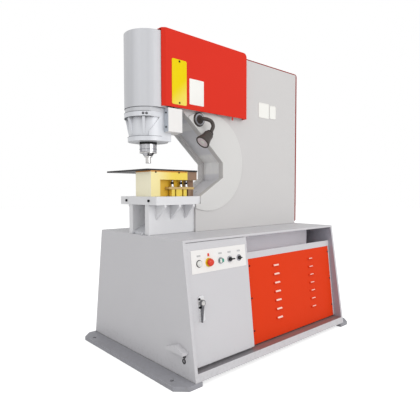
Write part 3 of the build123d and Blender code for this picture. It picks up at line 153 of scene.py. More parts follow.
class Surface:
    def __init__(self, name):
        self.material = bpy.data.materials.new(name)
        self.material.use_nodes = True
        self.tree = self.material.node_tree
        self.tree.nodes.clear()
        self.place = None

    def add(self, kind, settings=None, sockets=None, output=0):
        node = self.tree.nodes.new(kind)
        for key, value in (settings or {}).items():
            setattr(node, key, value)
        for key, value in (sockets or {}).items():
            if isinstance(value, Wire):
                self.tree.links.new(value.socket, node.inputs[key])
            else:
                node.inputs[key].default_value = value
        return Wire(self, node.outputs[output]) if node.outputs else None

    def here(self):
        if self.place is None:
            self.place = self.add("ShaderNodeTexCoord", output="Object")
        return self.place

    def noise(self, size, detail=2.0, roughness=0.5, stretch=None):
        # size is that of one blotch in metres
        where = self.here()
        if stretch is not None:
            where = self.add("ShaderNodeMapping", {}, {"Vector": where, "Scale": stretch})
        sockets = {"Vector": where, "Scale": 1 / size, "Detail": detail, "Roughness": roughness}
        return self.add("ShaderNodeTexNoise", {}, sockets)

    def axis(self, letter):
        return self.add("ShaderNodeSeparateXYZ", {}, {"Vector": self.here()}, letter)

    def blend(self, share, low, high):
        return self.add("ShaderNodeMix", {"data_type": "RGBA"}, {0: share, 6: low, 7: high}, 2)

    def tint(self, share, colour, amount):
        # multiplies a colour by a grey that varies with share
        grey = share * amount + (1 - amount / 2)
        level = self.add("ShaderNodeCombineColor", {}, {0: grey, 1: grey, 2: grey})
        settings = {"data_type": "RGBA", "blend_type": "MULTIPLY"}
        return self.add("ShaderNodeMix", settings, {0: 1.0, 6: colour, 7: level}, 2)

    def crevices(self, reach):
        # 1 in the corners and joints of the piece
        settings = {"samples": sampled["shelter"]}
        shelter = self.add("ShaderNodeAmbientOcclusion", settings, {"Distance": reach}, "AO")
        return (1 - shelter).above(*sampled["creviceEdge"])

    def edges(self, radius):
        # 1 on the sharp edges of the piece
        flat = self.add("ShaderNodeNewGeometry", output="Normal")
        settings = {"operation": "DOT_PRODUCT"}
        agreement = self.add("ShaderNodeVectorMath", settings, {0: self.rounded(radius), 1: flat}, 1)
        return (1 - agreement).above(*sampled["edgeBand"])

    def bump(self, height, distance, strength, normal):
        sockets = {"Height": height, "Distance": distance, "Strength": strength, "Normal": normal}
        return self.add("ShaderNodeBump", {}, sockets)

    def rounded(self, radius):
        return self.add("ShaderNodeBevel", {"samples": sampled["bevel"]}, {"Radius": radius})

    def shade(self, **sockets):
        named = {key.replace("_", " "): value for key, value in sockets.items()}
        shader = self.add("ShaderNodeBsdfPrincipled", {}, named)
        self.add("ShaderNodeOutputMaterial", {}, {"Surface": shader})
        return self.material


def linear(red, green, blue):
    # a colour read off a screen, 0 to 255, as the shader wants it
    parts = []
    for part in (red, green, blue):
        part /= 255
        parts.append(part / 12.92 if part <= 0.04045 else ((part + 0.055) / 1.055) ** 2.4)
    return (*parts, 1)


# What every paint has unless it says otherwise; sizes of patterns are in metres
anyPaint = {
    "rough": 0.42,
    "peel": 0.5,
    "mottle": 0.05,
    "dust": 0.05,
    "shine": 0.4,
    "nook": 0.014,
    "nookShadeAndDirt": 0.55,
    "brim": 0.0014,
    "cloudNoise": (0.35, 3.0),
    "dustNoise": (0.018, 4.0, 0.65),
    "dustEdge": (0.42, 0.75),
    "dustHeight": 0.30,
    "dustLow": 0.7,
    "dustColour": (122, 118, 112),
    "nookShadeAndDirtColour": (70, 66, 64),
    "nookShadeAndDirtShare": 0.75,
    "edgeWearAndHighlightNoise": (0.03, 3.0),
    "edgeWearAndHighlightVaries": 0.6,
    "edgeWearAndHighlightLeast": 0.5,
    "edgeWearAndHighlightShare": 0.6,
    "edgeWearAndHighlightGain": 1.30,
    "edgeWearAndHighlightLift": 0.06,
    "peelNoise": (0.0022, 2.0),
    "peelDepth": 0.00012,
    "corner": 0.0012,
    "roughNoise": (0.08, 3.0),
    "roughSpread": 0.14,
}

paints = {
    "basePaint": {"colour": (208, 207, 210), "dust": 0.16},
    "framePaint": {"colour": (211, 209, 208), "rough": 0.44, "mottle": 0.04},
    "headPaint": {"colour": (206, 207, 211), "rough": 0.34, "dust": 0.04, "shine": 0.5},
    # a lighter copy of the frame paint, painted light for the shaded throat cheeks, with a wide brim of
    # painted highlight on their edges
    "cheekLitPaint": {"colour": (218, 217, 215), "brim": 0.006},
    "sillPaint": {"colour": (208, 207, 210), "dust": 0.16},
    "rearPaint": {"colour": (208, 207, 210), "dust": 0.10},
    "armPaint": {"colour": (228, 228, 230), "rough": 0.38, "mottle": 0.06},
    "clampPaint": {"colour": (206, 176, 116), "rough": 0.40, "mottle": 0.12, "dust": 0.10, "shine": 0.3},
    # the nose takes deeper painted shade in its hollows and broader painted highlights on its edges than the
    # other paints
    "nosePaint": {
        "colour": (222, 224, 229), "rough": 0.30, "peel": 0.4, "mottle": 0.06, "dust": 0.02, "shine": 0.6,
        "nook": 0.045, "nookShadeAndDirt": 0.75, "brim": 0.0026,
    },
    "linerPaint": {
        "colour": (228, 228, 232), "rough": 0.30, "mottle": 0.10, "dust": 0.02, "shine": 0.7, "nookShadeAndDirt": 0.12,
    },
    "boxPaint": {"colour": (240, 238, 236), "peel": 0.3, "mottle": 0.03, "dust": 0.02, "shine": 0.3},
    # an amber of painted shade for the strip under the table's edge
    "underTableShadePaint": {
        "colour": (206, 134, 34), "rough": 0.35, "peel": 0.3, "mottle": 0.30, "dust": 0.02, "shine": 0.5,
    },
    "gearPaint": {"colour": (206, 204, 196), "rough": 0.45, "peel": 0.3, "mottle": 0.04},
    # its wide brim paints a broad highlight along the foot plates' edges
    "footPaint": {
        "colour": (158, 158, 164), "rough": 0.50, "peel": 0.7, "mottle": 0.10, "dust": 0.25, "brim": 0.004,
    },
    "panelPaint": {"colour": (226, 62, 22), "rough": 0.50, "peel": 0.45, "dust": 0.02, "shine": 0.08},
    "signYellow": {
        "colour": (240, 212, 8), "rough": 0.45, "peel": 0.2, "mottle": 0.04, "dust": 0.0, "shine": 0.08,
    },
    "signWhite": {"colour": (246, 245, 240), "peel": 0.2, "mottle": 0.04, "dust": 0.03, "shine": 0.2},
    "labelGrey": {"colour": (196, 196, 196), "peel": 0.2, "mottle": 0.03, "dust": 0.02, "shine": 0.2},
    "redPaint": {"colour": (222, 52, 36), "rough": 0.48, "peel": 0.45, "dust": 0.02, "shine": 0.08},
    # the red paint in painted shade, for the back cover's thin edge
    "redShadePaint": {"colour": (150, 52, 46), "rough": 0.50, "peel": 0.45, "dust": 0.04, "shine": 0.1},
    "whitePaint": {"colour": (240, 238, 236), "peel": 0.3, "mottle": 0.03, "dust": 0.02, "shine": 0.3},
    "yellowPaint": {"colour": (246, 218, 96), "rough": 0.36, "mottle": 0.12, "shine": 0.2},
    "tankPaint": {"colour": (250, 247, 254), "rough": 0.45, "peel": 0.6, "dust": 0.06},
    "motorPaint": {"colour": (70, 92, 116), "rough": 0.45, "peel": 0.8, "mottle": 0.08, "dust": 0.20},
    # a pale pink of painted highlight for the louvres' lips
    "glintPaint": {"colour": (252, 214, 200), "rough": 0.45, "peel": 0.3, "dust": 0.0},
    "lampPaint": {
        "colour": (66, 58, 54), "rough": 0.36, "peel": 0.4, "mottle": 0.08, "dust": 0.06, "shine": 0.5,
    },
}


def makePaint(name, ownValues, shaded):
    values = {**anyPaint, **ownValues}
    surface = Surface(name)
    plain = linear(*values["colour"])
    colour = shaded(surface, plain) if shaded else plain
    cloudy = surface.tint(surface.noise(*values["cloudNoise"]), colour, values["mottle"])
    low = 1 - surface.axis("Z").above(0.0, values["dustHeight"])
    settled = surface.noise(*values["dustNoise"]) * (low * values["dustLow"] + (1 - values["dustLow"]))
    dusty = settled.above(*values["dustEdge"]) * values["dust"]
    dirtied = surface.blend(dusty, cloudy, linear(*values["dustColour"]))
    # corners and joints go darker towards a dark grey: painted shade, with some dirt
    darkNookColour = surface.blend(values["nookShadeAndDirtShare"], colour, linear(*values["nookShadeAndDirtColour"]))
    withDarkNooks = surface.blend(surface.crevices(values["nook"]) * values["nookShadeAndDirt"], dirtied, darkNookColour)
    # edges go paler: partly paint worn thin, partly a painted highlight along them
    patchy = surface.noise(*values["edgeWearAndHighlightNoise"]) * values["edgeWearAndHighlightVaries"] + values["edgeWearAndHighlightLeast"]
    wornAndLitEdges = surface.edges(values["brim"]) * patchy
    pale = tuple(min(1.0, part * values["edgeWearAndHighlightGain"] + values["edgeWearAndHighlightLift"]) for part in plain[:3]) + (1,)
    edged = surface.blend(wornAndLitEdges * values["edgeWearAndHighlightShare"], withDarkNooks, pale)
    spread = values["roughSpread"]
    rough = surface.noise(*values["roughNoise"]) * spread + (values["rough"] - spread / 2)
    peel = surface.noise(*values["peelNoise"])
    normal = surface.bump(peel, values["peelDepth"], values["peel"], surface.rounded(values["corner"]))
    return surface.shade(Base_Color=edged, Roughness=rough, Normal=normal, Specular_IOR_Level=values["shine"])


blockShade = {
    "recessX": (-0.566, -0.560), "recessY": ((-0.073, -0.045), (-0.034, -0.030)), "recessZ": (0.993, 0.997),
    "recessShadeColour": (226, 176, 24), "recessShadeShare": 0.75,
    "sheenX": (-0.60, -0.46), "sheenColour": (248, 234, 172),
    "frontX": (-0.6245, -0.6225), "frontLitColour": (255, 250, 226),
    "tailX": (-0.368, -0.364), "tailShadeColour": (150, 122, 102),
}


def blockColour(surface, colour):
    # painted light and shade on the die block: a pale painted sheen towards its front, a lighter front face,
    # painted shade deep in its recess and brown painted shade on its tail
    along = surface.axis("X")
    recess = surface.axis("Y").between(*blockShade["recessY"]) * along.above(*blockShade["recessX"])
    recess = recess * (1 - surface.axis("Z").above(*blockShade["recessZ"]))
    sheened = surface.blend(along.above(*blockShade["sheenX"]), linear(*blockShade["sheenColour"]), colour)
    front = surface.blend(along.above(*blockShade["frontX"]), linear(*blockShade["frontLitColour"]), sheened)
    recessShaded = surface.blend(recess * blockShade["recessShadeShare"], front, linear(*blockShade["recessShadeColour"]))
    return surface.blend(along.above(*blockShade["tailX"]), recessShaded, linear(*blockShade["tailShadeColour"]))


sillShade = {
    "topZ": (0.0606, 0.0618), "innerY": (-0.400, -0.380), "share": 0.85,
    "panelX": (-0.24, -0.18), "doorShadeColour": (118, 114, 118), "panelShadeAndReflectionColour": (132, 92, 88),
}


def sillColour(surface, colour):
    # the sills' top face lies in the dirt and painted shade under the door and the red panel, and takes a
    # painted reflection of the panel's red under it
    top = surface.axis("Z").above(*sillShade["topZ"]) * (1 - surface.axis("Y").above(*sillShade["innerY"]))
    panel = surface.axis("X").above(*sillShade["panelX"])
    shade = surface.blend(panel, linear(*sillShade["doorShadeColour"]), linear(*sillShade["panelShadeAndReflectionColour"]))
    return surface.blend(top * sillShade["share"], colour, shade)


def frontShade(edge, shade):
    # a paint given painted shade in front of an edge across X, on a face that turns from the light
    def shaded(surface, colour):
        return surface.blend(surface.axis("X").above(*edge), linear(*shade), colour)

    return shaded


# upright bands of painted reflection on the head's enamel
streaks = {"noise": (0.045, 1.5, 0.4, (1, 1, 0.03)), "share": 0.34}


def streakedColour(surface, colour):
    # painted reflection: soft upright bands of lighter and darker sheen on the enamel of the cylinder and the
    # nose
    return surface.tint(surface.noise(*streaks["noise"]), colour, streaks["share"])


gearShade = {
    "middleZ": (0.330, 0.332), "topZ": (0.490, 0.492), "plateY": (-0.2590, -0.2575),
    "lowColour": (88, 96, 106), "middleColour": (44, 45, 48), "topColour": (206, 208, 206),
}


def gearColour(surface, colour):
    # the switchgear stands out of its pale back plate in three rows
    height = surface.axis("Z")
    middle = height.above(*gearShade["middleZ"])
    rows = surface.blend(middle, linear(*gearShade["lowColour"]), linear(*gearShade["middleColour"]))
    rows = surface.blend(height.above(*gearShade["topZ"]), rows, linear(*gearShade["topColour"]))
    return surface.blend(surface.axis("Y").above(*gearShade["plateY"]), rows, colour)


linerShade = {
    "middleZ": ((1.030, 1.050), (1.150, 1.170)), "patchZ": ((1.292, 1.300), (1.330, 1.338)), "patchShare": 0.7,
    "glintNoise": (0.03, 3.0, 0.6, (1, 1, 0.25)), "glintEdge": (0.35, 0.7), "glintShare": 0.35,
    "colour": (255, 255, 253),
}


def linerColour(surface, colour):
    # painted highlight: the middle facet of the throat and a patch higher up are painted brighter, in blotches
    height = surface.axis("Z")
    bright = height.between(*linerShade["middleZ"])
    bright = (bright + height.between(*linerShade["patchZ"]) * linerShade["patchShare"]).atMost(1.0)
    glintPatches = surface.noise(*linerShade["glintNoise"]).above(*linerShade["glintEdge"])
    kept = glintPatches * linerShade["glintShare"] + (1 - linerShade["glintShare"])
    return surface.blend(bright * kept, colour, linear(*linerShade["colour"]))


signShade = {"alongX": 0.6, "downZ": 0.62, "edge": (-0.235, -0.15), "share": 0.8, "colour": (248, 228, 116)}


def signColour(surface, colour):
    # paler towards its lower right corner
    corner = surface.axis("X") * signShade["alongX"] + 1.0 - surface.axis("Z") * signShade["downZ"]
    faded = corner.above(*signShade["edge"])
    return surface.blend(faded * signShade["share"], colour, linear(*signShade["colour"]))


shadedPaints = {
    "yellowPaint": blockColour,
    "signYellow": signColour,
    "sillPaint": sillColour,
    "rearPaint": frontShade((0.6512, 0.6530), (166, 164, 174)),
    "boxPaint": frontShade((-0.5597, -0.5588), (186, 192, 200)),
    "headPaint": streakedColour,
    "nosePaint": streakedColour,
    "linerPaint": linerColour,
    "gearPaint": gearColour,
}
materials = {name: makePaint(name, values, shadedPaints.get(name)) for name, values in paints.items()}

metals = {
    "brightSteel": {"colour": (208, 208, 212), "rough": 0.16, "grain": 0.0004, "streak": (1, 1, 14)},
    "leverSteel": {"colour": (128, 128, 132), "rough": 0.30, "grain": 0.0005, "streak": (1, 1, 0.1)},
    "chrome": {"colour": (226, 224, 222), "rough": 0.20, "grain": 0.0004, "streak": (1, 1, 8)},
    "toolSteel": {"colour": (150, 150, 156), "rough": 0.26, "grain": 0.0005, "streak": (1, 1, 10)},
    "tableSteel": {"colour": (62, 60, 62), "rough": 0.40, "grain": 0.0009, "streak": (0.08, 1, 1)},
    "pipeSteel": {"colour": (176, 176, 182), "rough": 0.30, "grain": 0.0006, "streak": (1, 1, 0.1)},
    "blackOxide": {"colour": (34, 34, 38), "rough": 0.38, "grain": 0.0006, "streak": (1, 1, 1)},
    "pumpCasting": {"colour": (104, 104, 108), "rough": 0.62, "grain": 0.0016, "streak": (1, 1, 1)},
}
anyMetal = {
    "metallic": 0.9, "stainNoise": (0.03, 3.0), "stainTint": 0.14, "stainRough": 0.12, "grainSpan": 4,
    "streakDetail": 3.0, "streakRoughness": 0.6, "streakTint": 0.16, "streakRough": 0.10,
    "depth": 0.00005, "strength": 0.5, "corner": 0.0006,
}


def makeMetal(name, ownValues):
    values = {**anyMetal, **ownValues}
    surface = Surface(name)
    size = values["grain"] * values["grainSpan"]
    streaks = surface.noise(size, values["streakDetail"], values["streakRoughness"], values["streak"])
    stain = surface.noise(*values["stainNoise"])
    streaked = surface.tint(streaks, linear(*values["colour"]), values["streakTint"])
    toned = surface.tint(stain, streaked, values["stainTint"])
    varied = stain * values["stainRough"] + streaks * values["streakRough"]
    rough = varied + (values["rough"] - (values["stainRough"] + values["streakRough"]) / 2)
    normal = surface.bump(streaks, values["depth"], values["strength"], surface.rounded(values["corner"]))
    return surface.shade(Base_Color=toned, Metallic=values["metallic"], Roughness=rough, Normal=normal)


for name, values in metals.items():
    materials[name] = makeMetal(name, values)

plastics = {
    "blackPlastic": {"colour": (26, 26, 28), "rough": 0.34},
    "redPlastic": {"colour": (222, 58, 36), "rough": 0.26},
    "yellowPlastic": {"colour": (240, 196, 30), "rough": 0.34},
    "greenPlastic": {"colour": (16, 128, 106), "rough": 0.28},
    "whitePlastic": {"colour": (232, 232, 228), "rough": 0.26},
    "tealPlastic": {"colour": (70, 164, 142), "rough": 0.30},
    "seamGrey": {"colour": (96, 98, 104), "rough": 0.60},
    "gearGrey": {"colour": (150, 154, 158), "rough": 0.36},
    "rubberBlack": {"colour": (20, 20, 21), "rough": 0.72},
    "lensWhite": {"colour": (226, 214, 218), "rough": 0.22},
}
anyPlastic = {
    "cloudSize": 0.02, "cloudTint": 0.08, "roughSize": 0.006, "roughSpread": 0.12, "grainSize": 0.0009,
    "depth": 0.00003, "strength": 0.6, "corner": 0.0005,
}


def makePlastic(name, ownValues):
    values = {**anyPlastic, **ownValues}
    surface = Surface(name)
    cloudy = surface.tint(surface.noise(values["cloudSize"]), linear(*values["colour"]), values["cloudTint"])
    spread = values["roughSpread"]
    rough = surface.noise(values["roughSize"]) * spread + (values["rough"] - spread / 2)
    grain = surface.noise(values["grainSize"])
    normal = surface.bump(grain, values["depth"], values["strength"], surface.rounded(values["corner"]))
    return surface.shade(Base_Color=cloudy, Roughness=rough, Normal=normal)


for name, values in plastics.items():
    materials[name] = makePlastic(name, values)
print("materials mixed:", len(materials))

nodeFinish = {
    "basePaint": [
        "end_plate_front", "base_top_plate", "panel_frame", "far_cover", "cabinet_box", "door", "cable_hood",
        "base_floor",
    ],
    "framePaint": ["side_plate_near", "side_plate_far", "frame_web", "cover_brackets"],
    "cheekLitPaint": ["throat_cheeks"],
    "headPaint": ["cylinder_barrel", "cylinder_cover", "slug_chute"],
    "footPaint": ["foot_plates"],
    "nosePaint": ["nose_housing"],
    "gearPaint": ["component_plate"],
    "sillPaint": ["sills"],
    "rearPaint": ["end_plate_rear"],
    "armPaint": ["arm_body", "bolster", "handle_plate"],
    "clampPaint": ["clamp_plate"],
    "linerPaint": ["throat_liner"],
    "redPaint": ["upper_cover"],
    "redShadePaint": ["back_cover"],
    "panelPaint": ["louvred_cover"],
    "whitePaint": ["control_panel"],
    "boxPaint": ["switch_box"],
    "yellowPaint": ["die_block", "die_clamp_bars"],
    "tankPaint": ["oil_tank"],
    "motorPaint": ["motor"],
    "pumpCasting": ["gear_pump", "valve_block"],
    "pipeSteel": ["oil_pipes", "door_hinges"],
    "chrome": ["punch"],
    "leverSteel": ["handle_lever"],
    "brightSteel": ["piston_rod", "coupling_nut", "clamp_studs", "control_bezels"],
    "toolSteel": ["die"],
    "tableSteel": ["table_plate"],
    "blackOxide": ["cover_screws", "frame_bolts"],
    "rubberBlack": ["dust_seal"],
    "lampPaint": ["lamp_base", "lamp_neck", "lamp_head"],
    "lensWhite": ["lamp_lens"],
    "blackPlastic": ["lever_selector", "round_selector"],
    "redPlastic": ["stop_button"],
    "yellowPlastic": ["stop_collar"],
    "greenPlastic": ["start_button"],
    "whitePlastic": ["indicator_lamp"],
}

for finish, names in nodeFinish.items():
    for name in names:
        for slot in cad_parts[name].material_slots:
            slot.material = materials[finish]
print("finishes put on the CAD nodes")

# How a piece is turned so that its own Z points out of the face that it sits on
facings = {
    "up": (0, 0, 0), "near": (90, 0, 0), "door": (83.695, 0, 0), "front": (90, 0, -90), "rear": (90, 0, 90),
    "far": (-81.6, 0, 0), "louvre": (54.3, 0, 0), "lamp": (0, -135, 0),
}

# A point on the door: its upper edge, and the slope of its face
doorFace = {"y": -0.402, "z": 0.676, "lean": 0.10983, "fall": 0.99395}
nearly = 1e-6
# A face whose own normal has more Z than endNormal is an end, one with less than sideNormal a side
endNormal = 0.9
sideNormal = 0.5


def newPiece(name, shape, **values):
    bpy.ops.object.select_all(action="DESELECT")
    getattr(bpy.ops.mesh, "primitive_" + shape + "_add")(**values)
    piece = bpy.context.active_object
    piece.name = name
    return piece


def pick(piece, kind, test):
    # leaves only the faces or edges selected that pass the test
    bpy.ops.object.mode_set(mode="EDIT")
    bpy.ops.mesh.select_mode(type=kind)
    bpy.ops.mesh.select_all(action="DESELECT")
    mesh = bmesh.from_edit_mesh(piece.data)
    for part in mesh.faces if kind == "FACE" else mesh.edges:
        if test(part):
            part.select_set(True)
    mesh.select_flush_mode()
    bmesh.update_edit_mesh(piece.data)


def editAll():
    bpy.ops.object.mode_set(mode="EDIT")
    bpy.ops.mesh.select_all(action="SELECT")


def rise(height):
    bpy.ops.mesh.extrude_region_move(TRANSFORM_OT_translate={"value": (0, 0, height)})


def faceOutwards():
    bpy.ops.mesh.select_all(action="SELECT")
    bpy.ops.mesh.normals_make_consistent(inside=False)


def alone(piece):
    bpy.ops.object.select_all(action="DESELECT")
    piece.select_set(True)
    bpy.context.view_layer.objects.active = piece


def applied(piece, kind, **values):
    modifier = piece.modifiers.new(kind.lower(), kind)
    for key, value in values.items():
        setattr(modifier, key, value)
    alone(piece)
    bpy.ops.object.modifier_apply(modifier=modifier.name)


def settle(piece, place, facing, finish, body, smooth=35):
    # puts the place and turn in the mesh, then gives the piece its finish and body
    if bpy.context.mode != "OBJECT":
        bpy.ops.object.mode_set(mode="OBJECT")
    alone(piece)
    piece.location = place
    turn = facings[facing] if isinstance(facing, str) else facing
    piece.rotation_euler = [math.radians(angle) for angle in turn]
    bpy.ops.object.transform_apply(location=True, rotation=True, scale=True)
    bpy.ops.object.shade_smooth_by_angle(angle=math.radians(smooth))
    piece.data.materials.clear()
    piece.data.materials.append(materials[finish])
    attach(piece, body)
    return piece


def again(piece, name, move, body):
    # the same piece once more, on its own mesh, moved by move
    twin = piece.copy()
    twin.data = piece.data.copy()
    twin.name = name
    bpy.context.scene.collection.objects.link(twin)
    twin.data.transform(Matrix.Translation(move))
    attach(twin, body)
    return twin


def doorPoint(x, drop, lift=0.0):
    # a point on the door's leaning face, or lift above it
    y = doorFace["y"] - doorFace["lean"] * drop - doorFace["fall"] * lift
    return (x, y, doorFace["z"] - doorFace["fall"] * drop + doorFace["lean"] * lift)


plateShape = {"cornerSteps": 6, "edge": 0.25, "edgeSteps": 2, "sink": 0.5}


def addPlate(name, size, corner, thickness, place, facing, finish, body, rim=0.0):
    # a plate with round corners; with a rim its middle is sunk
    piece = newPiece(name, "plane", size=1)
    bpy.ops.object.mode_set(mode="EDIT")
    bpy.ops.transform.resize(value=(size[0], size[1], 1))
    bpy.ops.mesh.select_all(action="SELECT")
    bpy.ops.mesh.bevel(offset=corner, segments=plateShape["cornerSteps"], affect="VERTICES")
    rise(thickness)
    if rim:
        bpy.ops.mesh.inset(thickness=rim)
        rise(-thickness * plateShape["sink"])
    pick(piece, "EDGE", lambda edge: all(abs(vertex.co.z - thickness) < nearly for vertex in edge.verts))
    bpy.ops.mesh.bevel(
        offset=thickness * plateShape["edge"], segments=plateShape["edgeSteps"], affect="EDGES"
    )
    faceOutwards()
    return settle(piece, place, facing, finish, body)


screwShape = {"sides": 28, "edge": 0.12, "dome": 0.08, "wall": 0.38, "sink": 0.5}


def addScrew(name, radius, height, place, facing, finish, body):
    # a domed head with a sunk socket; wall is the ring between its edge and its socket
    middle = (0, 0, height / 2)
    piece = newPiece(
        name, "cylinder", vertices=screwShape["sides"], radius=radius, depth=height, location=middle
    )
    pick(piece, "FACE", lambda face: face.normal.z > endNormal)
    bpy.ops.mesh.inset(thickness=radius * screwShape["edge"])
    bpy.ops.transform.translate(value=(0, 0, radius * screwShape["dome"]))
    bpy.ops.mesh.inset(thickness=radius * screwShape["wall"])
    rise(-height * screwShape["sink"])
    return settle(piece, place, facing, finish, body)


def addTurned(name, steps, place, facing, finish, body, sides=48, smooth=30):
    # a disc drawn out and resized from step to step, each a radius and a height
    radius, height = steps[0]
    piece = newPiece(
        name, "circle", vertices=sides, radius=radius, fill_type="NGON", location=(0, 0, height)
    )
    editAll()
    for nextRadius, nextHeight in steps[1:]:
        rise(nextHeight - height)
        bpy.ops.transform.resize(value=(nextRadius / radius, nextRadius / radius, 1))
        radius, height = nextRadius, nextHeight
    faceOutwards()
    return settle(piece, place, facing, finish, body, smooth)


ringShape = {"edge": 0.25, "edgeSteps": 2}


def addRing(name, outer, inner, height, place, facing, finish, body, sides=48):
    # a flat ring with a rounded outer edge

    def onRim(edge):
        upper = all(abs(vertex.co.z - height) < nearly for vertex in edge.verts)
        beside = any(abs(face.normal.z) < sideNormal for face in edge.link_faces)
        return upper and beside and len(edge.link_faces) == 2

    middle = (0, 0, height / 2)
    piece = newPiece(name, "cylinder", vertices=sides, radius=outer, depth=height, location=middle)
    pick(piece, "FACE", lambda face: abs(face.normal.z) > endNormal)
    bpy.ops.mesh.inset(thickness=outer - inner)
    bpy.ops.mesh.bridge_edge_loops()
    pick(piece, "EDGE", onRim)
    bpy.ops.mesh.bevel(
        offset=min(height, outer - inner) * ringShape["edge"], segments=ringShape["edgeSteps"], affect="EDGES"
    )
    faceOutwards()
    return settle(piece, place, facing, finish, body)


beadShape = {"sides": 8, "pitch": 0.009, "swell": 1.16, "merge": 0.2, "smooth": 60}


def addBead(name, start, end, radius, finish, body):
    # a weld bead: one ripple drawn out from a ring and repeated along the joint
    run = Vector(end) - Vector(start)
    piece = newPiece(name, "circle", vertices=beadShape["sides"], radius=radius, fill_type="NOTHING")
    editAll()
    for growth in (beadShape["swell"], 1 / beadShape["swell"]):
        rise(beadShape["pitch"] / 2)
        bpy.ops.transform.resize(value=(growth, growth, 1))
    bpy.ops.object.mode_set(mode="OBJECT")
    ripples = max(1, round(run.length / beadShape["pitch"]))
    applied(
        piece, "ARRAY", count=ripples, use_relative_offset=False, use_constant_offset=True,
        constant_offset_displace=(0, 0, run.length / ripples), use_merge_vertices=True,
        merge_threshold=radius * beadShape["merge"],
    )
    editAll()
    bpy.ops.mesh.fill_holes(sides=0)
    faceOutwards()
    turn = [math.degrees(angle) for angle in run.to_track_quat("Z", "Y").to_euler("XYZ")]
    return settle(piece, start, turn, finish, body, beadShape["smooth"])


# Plain plates where the real machine carries its signs
signPlates = {
    "yellowSign": {
        "size": (0.102, 0.244), "corner": 0.009, "thick": 0.002, "place": (-0.483, -0.150, 1.526),
        "finish": "signYellow", "rim": 0.0,
    },
    "whiteSign": {
        "size": (0.107, 0.143), "corner": 0.004, "thick": 0.001, "place": (-0.3575, -0.150, 1.4895),
        "finish": "signWhite", "rim": 0.0,
    },
    "namePlate": {
        "size": (0.108, 0.100), "corner": 0.010, "thick": 0.003, "place": (0.276, -0.112, 1.476),
        "finish": "signWhite", "rim": 0.004,
    },
    "serialPlate": {
        "size": (0.066, 0.092), "corner": 0.014, "thick": 0.004, "place": (0.369, -0.112, 1.475),
        "finish": "signWhite", "rim": 0.004,
    },
}
for name, values in signPlates.items():
    addPlate(
        name, values["size"], values["corner"], values["thick"], values["place"], "near", values["finish"],
        "frame", values["rim"],
    )

signScrews = {"radius": 0.0055, "height": 0.003, "place": (-0.483, -0.152, 1.414), "pitch": 0.224}
signScrew = addScrew(
    "signScrew0", signScrews["radius"], signScrews["height"], signScrews["place"], "near", "blackOxide",
    "frame",
)
again(signScrew, "signScrew1", (0, 0, signScrews["pitch"]), "frame")
print("sign plates fixed")

# Door furniture: rings round the controls, blank labels over them
controls = {
    "places": {"indicator": -0.573, "stop": -0.508, "start": -0.426, "lever": -0.359, "round": -0.288},
    "drop": 0.107,
    "skin": 0.002,
    "label": {
        "drop": 0.069, "size": (0.024, 0.009), "stopSize": (0.012, 0.016), "corner": 0.0015, "thick": 0.0008,
    },
    "ringInner": 0.0152,
    "rings": {
        "indicator": {"outer": 0.0185, "height": 0.004, "finish": "blackPlastic"},
        "start": {"outer": 0.0180, "height": 0.005, "finish": "brightSteel"},
        "lever": {"outer": 0.0180, "height": 0.005, "finish": "brightSteel"},
        "round": {"outer": 0.0180, "height": 0.005, "finish": "brightSteel"},
    },
}
label = controls["label"]
for name, x in controls["places"].items():
    size = label["stopSize"] if name == "stop" else label["size"]
    finish = "redPlastic" if name == "stop" else "labelGrey"
    place = doorPoint(x, label["drop"], controls["skin"])
    addPlate(name + "Label", size, label["corner"], label["thick"], place, "door", finish, "door")
for name, values in controls["rings"].items():
    place = doorPoint(controls["places"][name], controls["drop"], controls["skin"])
    addRing(
        name + "Ring", values["outer"], controls["ringInner"], values["height"], place, "door",
        values["finish"], "door",
    )
print("door furniture added")

# Small bolts in the head's flange ring
headX = -0.589
ringBolts = {"radius": 0.129, "level": 1.343, "angles": (225, 233), "head": 0.0062, "depth": 0.006}
for index, angle in enumerate(ringBolts["angles"]):
    reach = Matrix.Rotation(math.radians(angle), 3, "Z") @ Vector((ringBolts["radius"], 0, 0))
    place = (headX + reach.x, reach.y, ringBolts["level"])
    addScrew(
        f"ringBolt{index}", ringBolts["head"], ringBolts["depth"], place, (90, 0, angle + 90), "blackOxide",
        "frame",
    )
print("head bolts added")

# Weld beads along the plates that stand on others: start, end, radius, finish
beads = {
    "footBeadFront": ((-0.669, -0.496, 0.022), (-0.669, 0.496, 0.022), 0.0042, "basePaint"),
    "footBeadRear": ((0.669, -0.496, 0.022), (0.669, 0.496, 0.022), 0.0042, "basePaint"),
    "plateBeadNear": ((-0.330, -0.112, 0.691), (0.630, -0.112, 0.691), 0.0030, "basePaint"),
    "plateBeadFar": ((-0.330, 0.112, 0.691), (0.630, 0.112, 0.691), 0.0030, "basePaint"),
    "armBeadNear": ((-0.653, -0.099, 0.691), (-0.340, -0.099, 0.691), 0.0042, "armPaint"),
    "armBeadFar": ((-0.653, 0.099, 0.691), (-0.340, 0.099, 0.691), 0.0042, "headPaint"),
    "armBeadFront": ((-0.655, -0.096, 0.691), (-0.655, -0.066, 0.691), 0.0042, "headPaint"),
    "cheekBeadNear": ((-0.337, -0.112, 0.695), (-0.337, -0.112, 0.850), 0.0040, "headPaint"),
    "cheekBeadFar": ((-0.337, 0.112, 0.695), (-0.337, 0.112, 0.850), 0.0040, "headPaint"),
    "bolsterBeadNear": ((-0.648, -0.099, 0.856), (-0.345, -0.099, 0.856), 0.0034, "headPaint"),
    "bolsterBeadFar": ((-0.648, 0.099, 0.856), (-0.345, 0.099, 0.856), 0.0034, "headPaint"),
}
for name, (start, end, radius, finish) in beads.items():
    addBead(name, start, end, radius, finish, "frame")
print("welds laid")

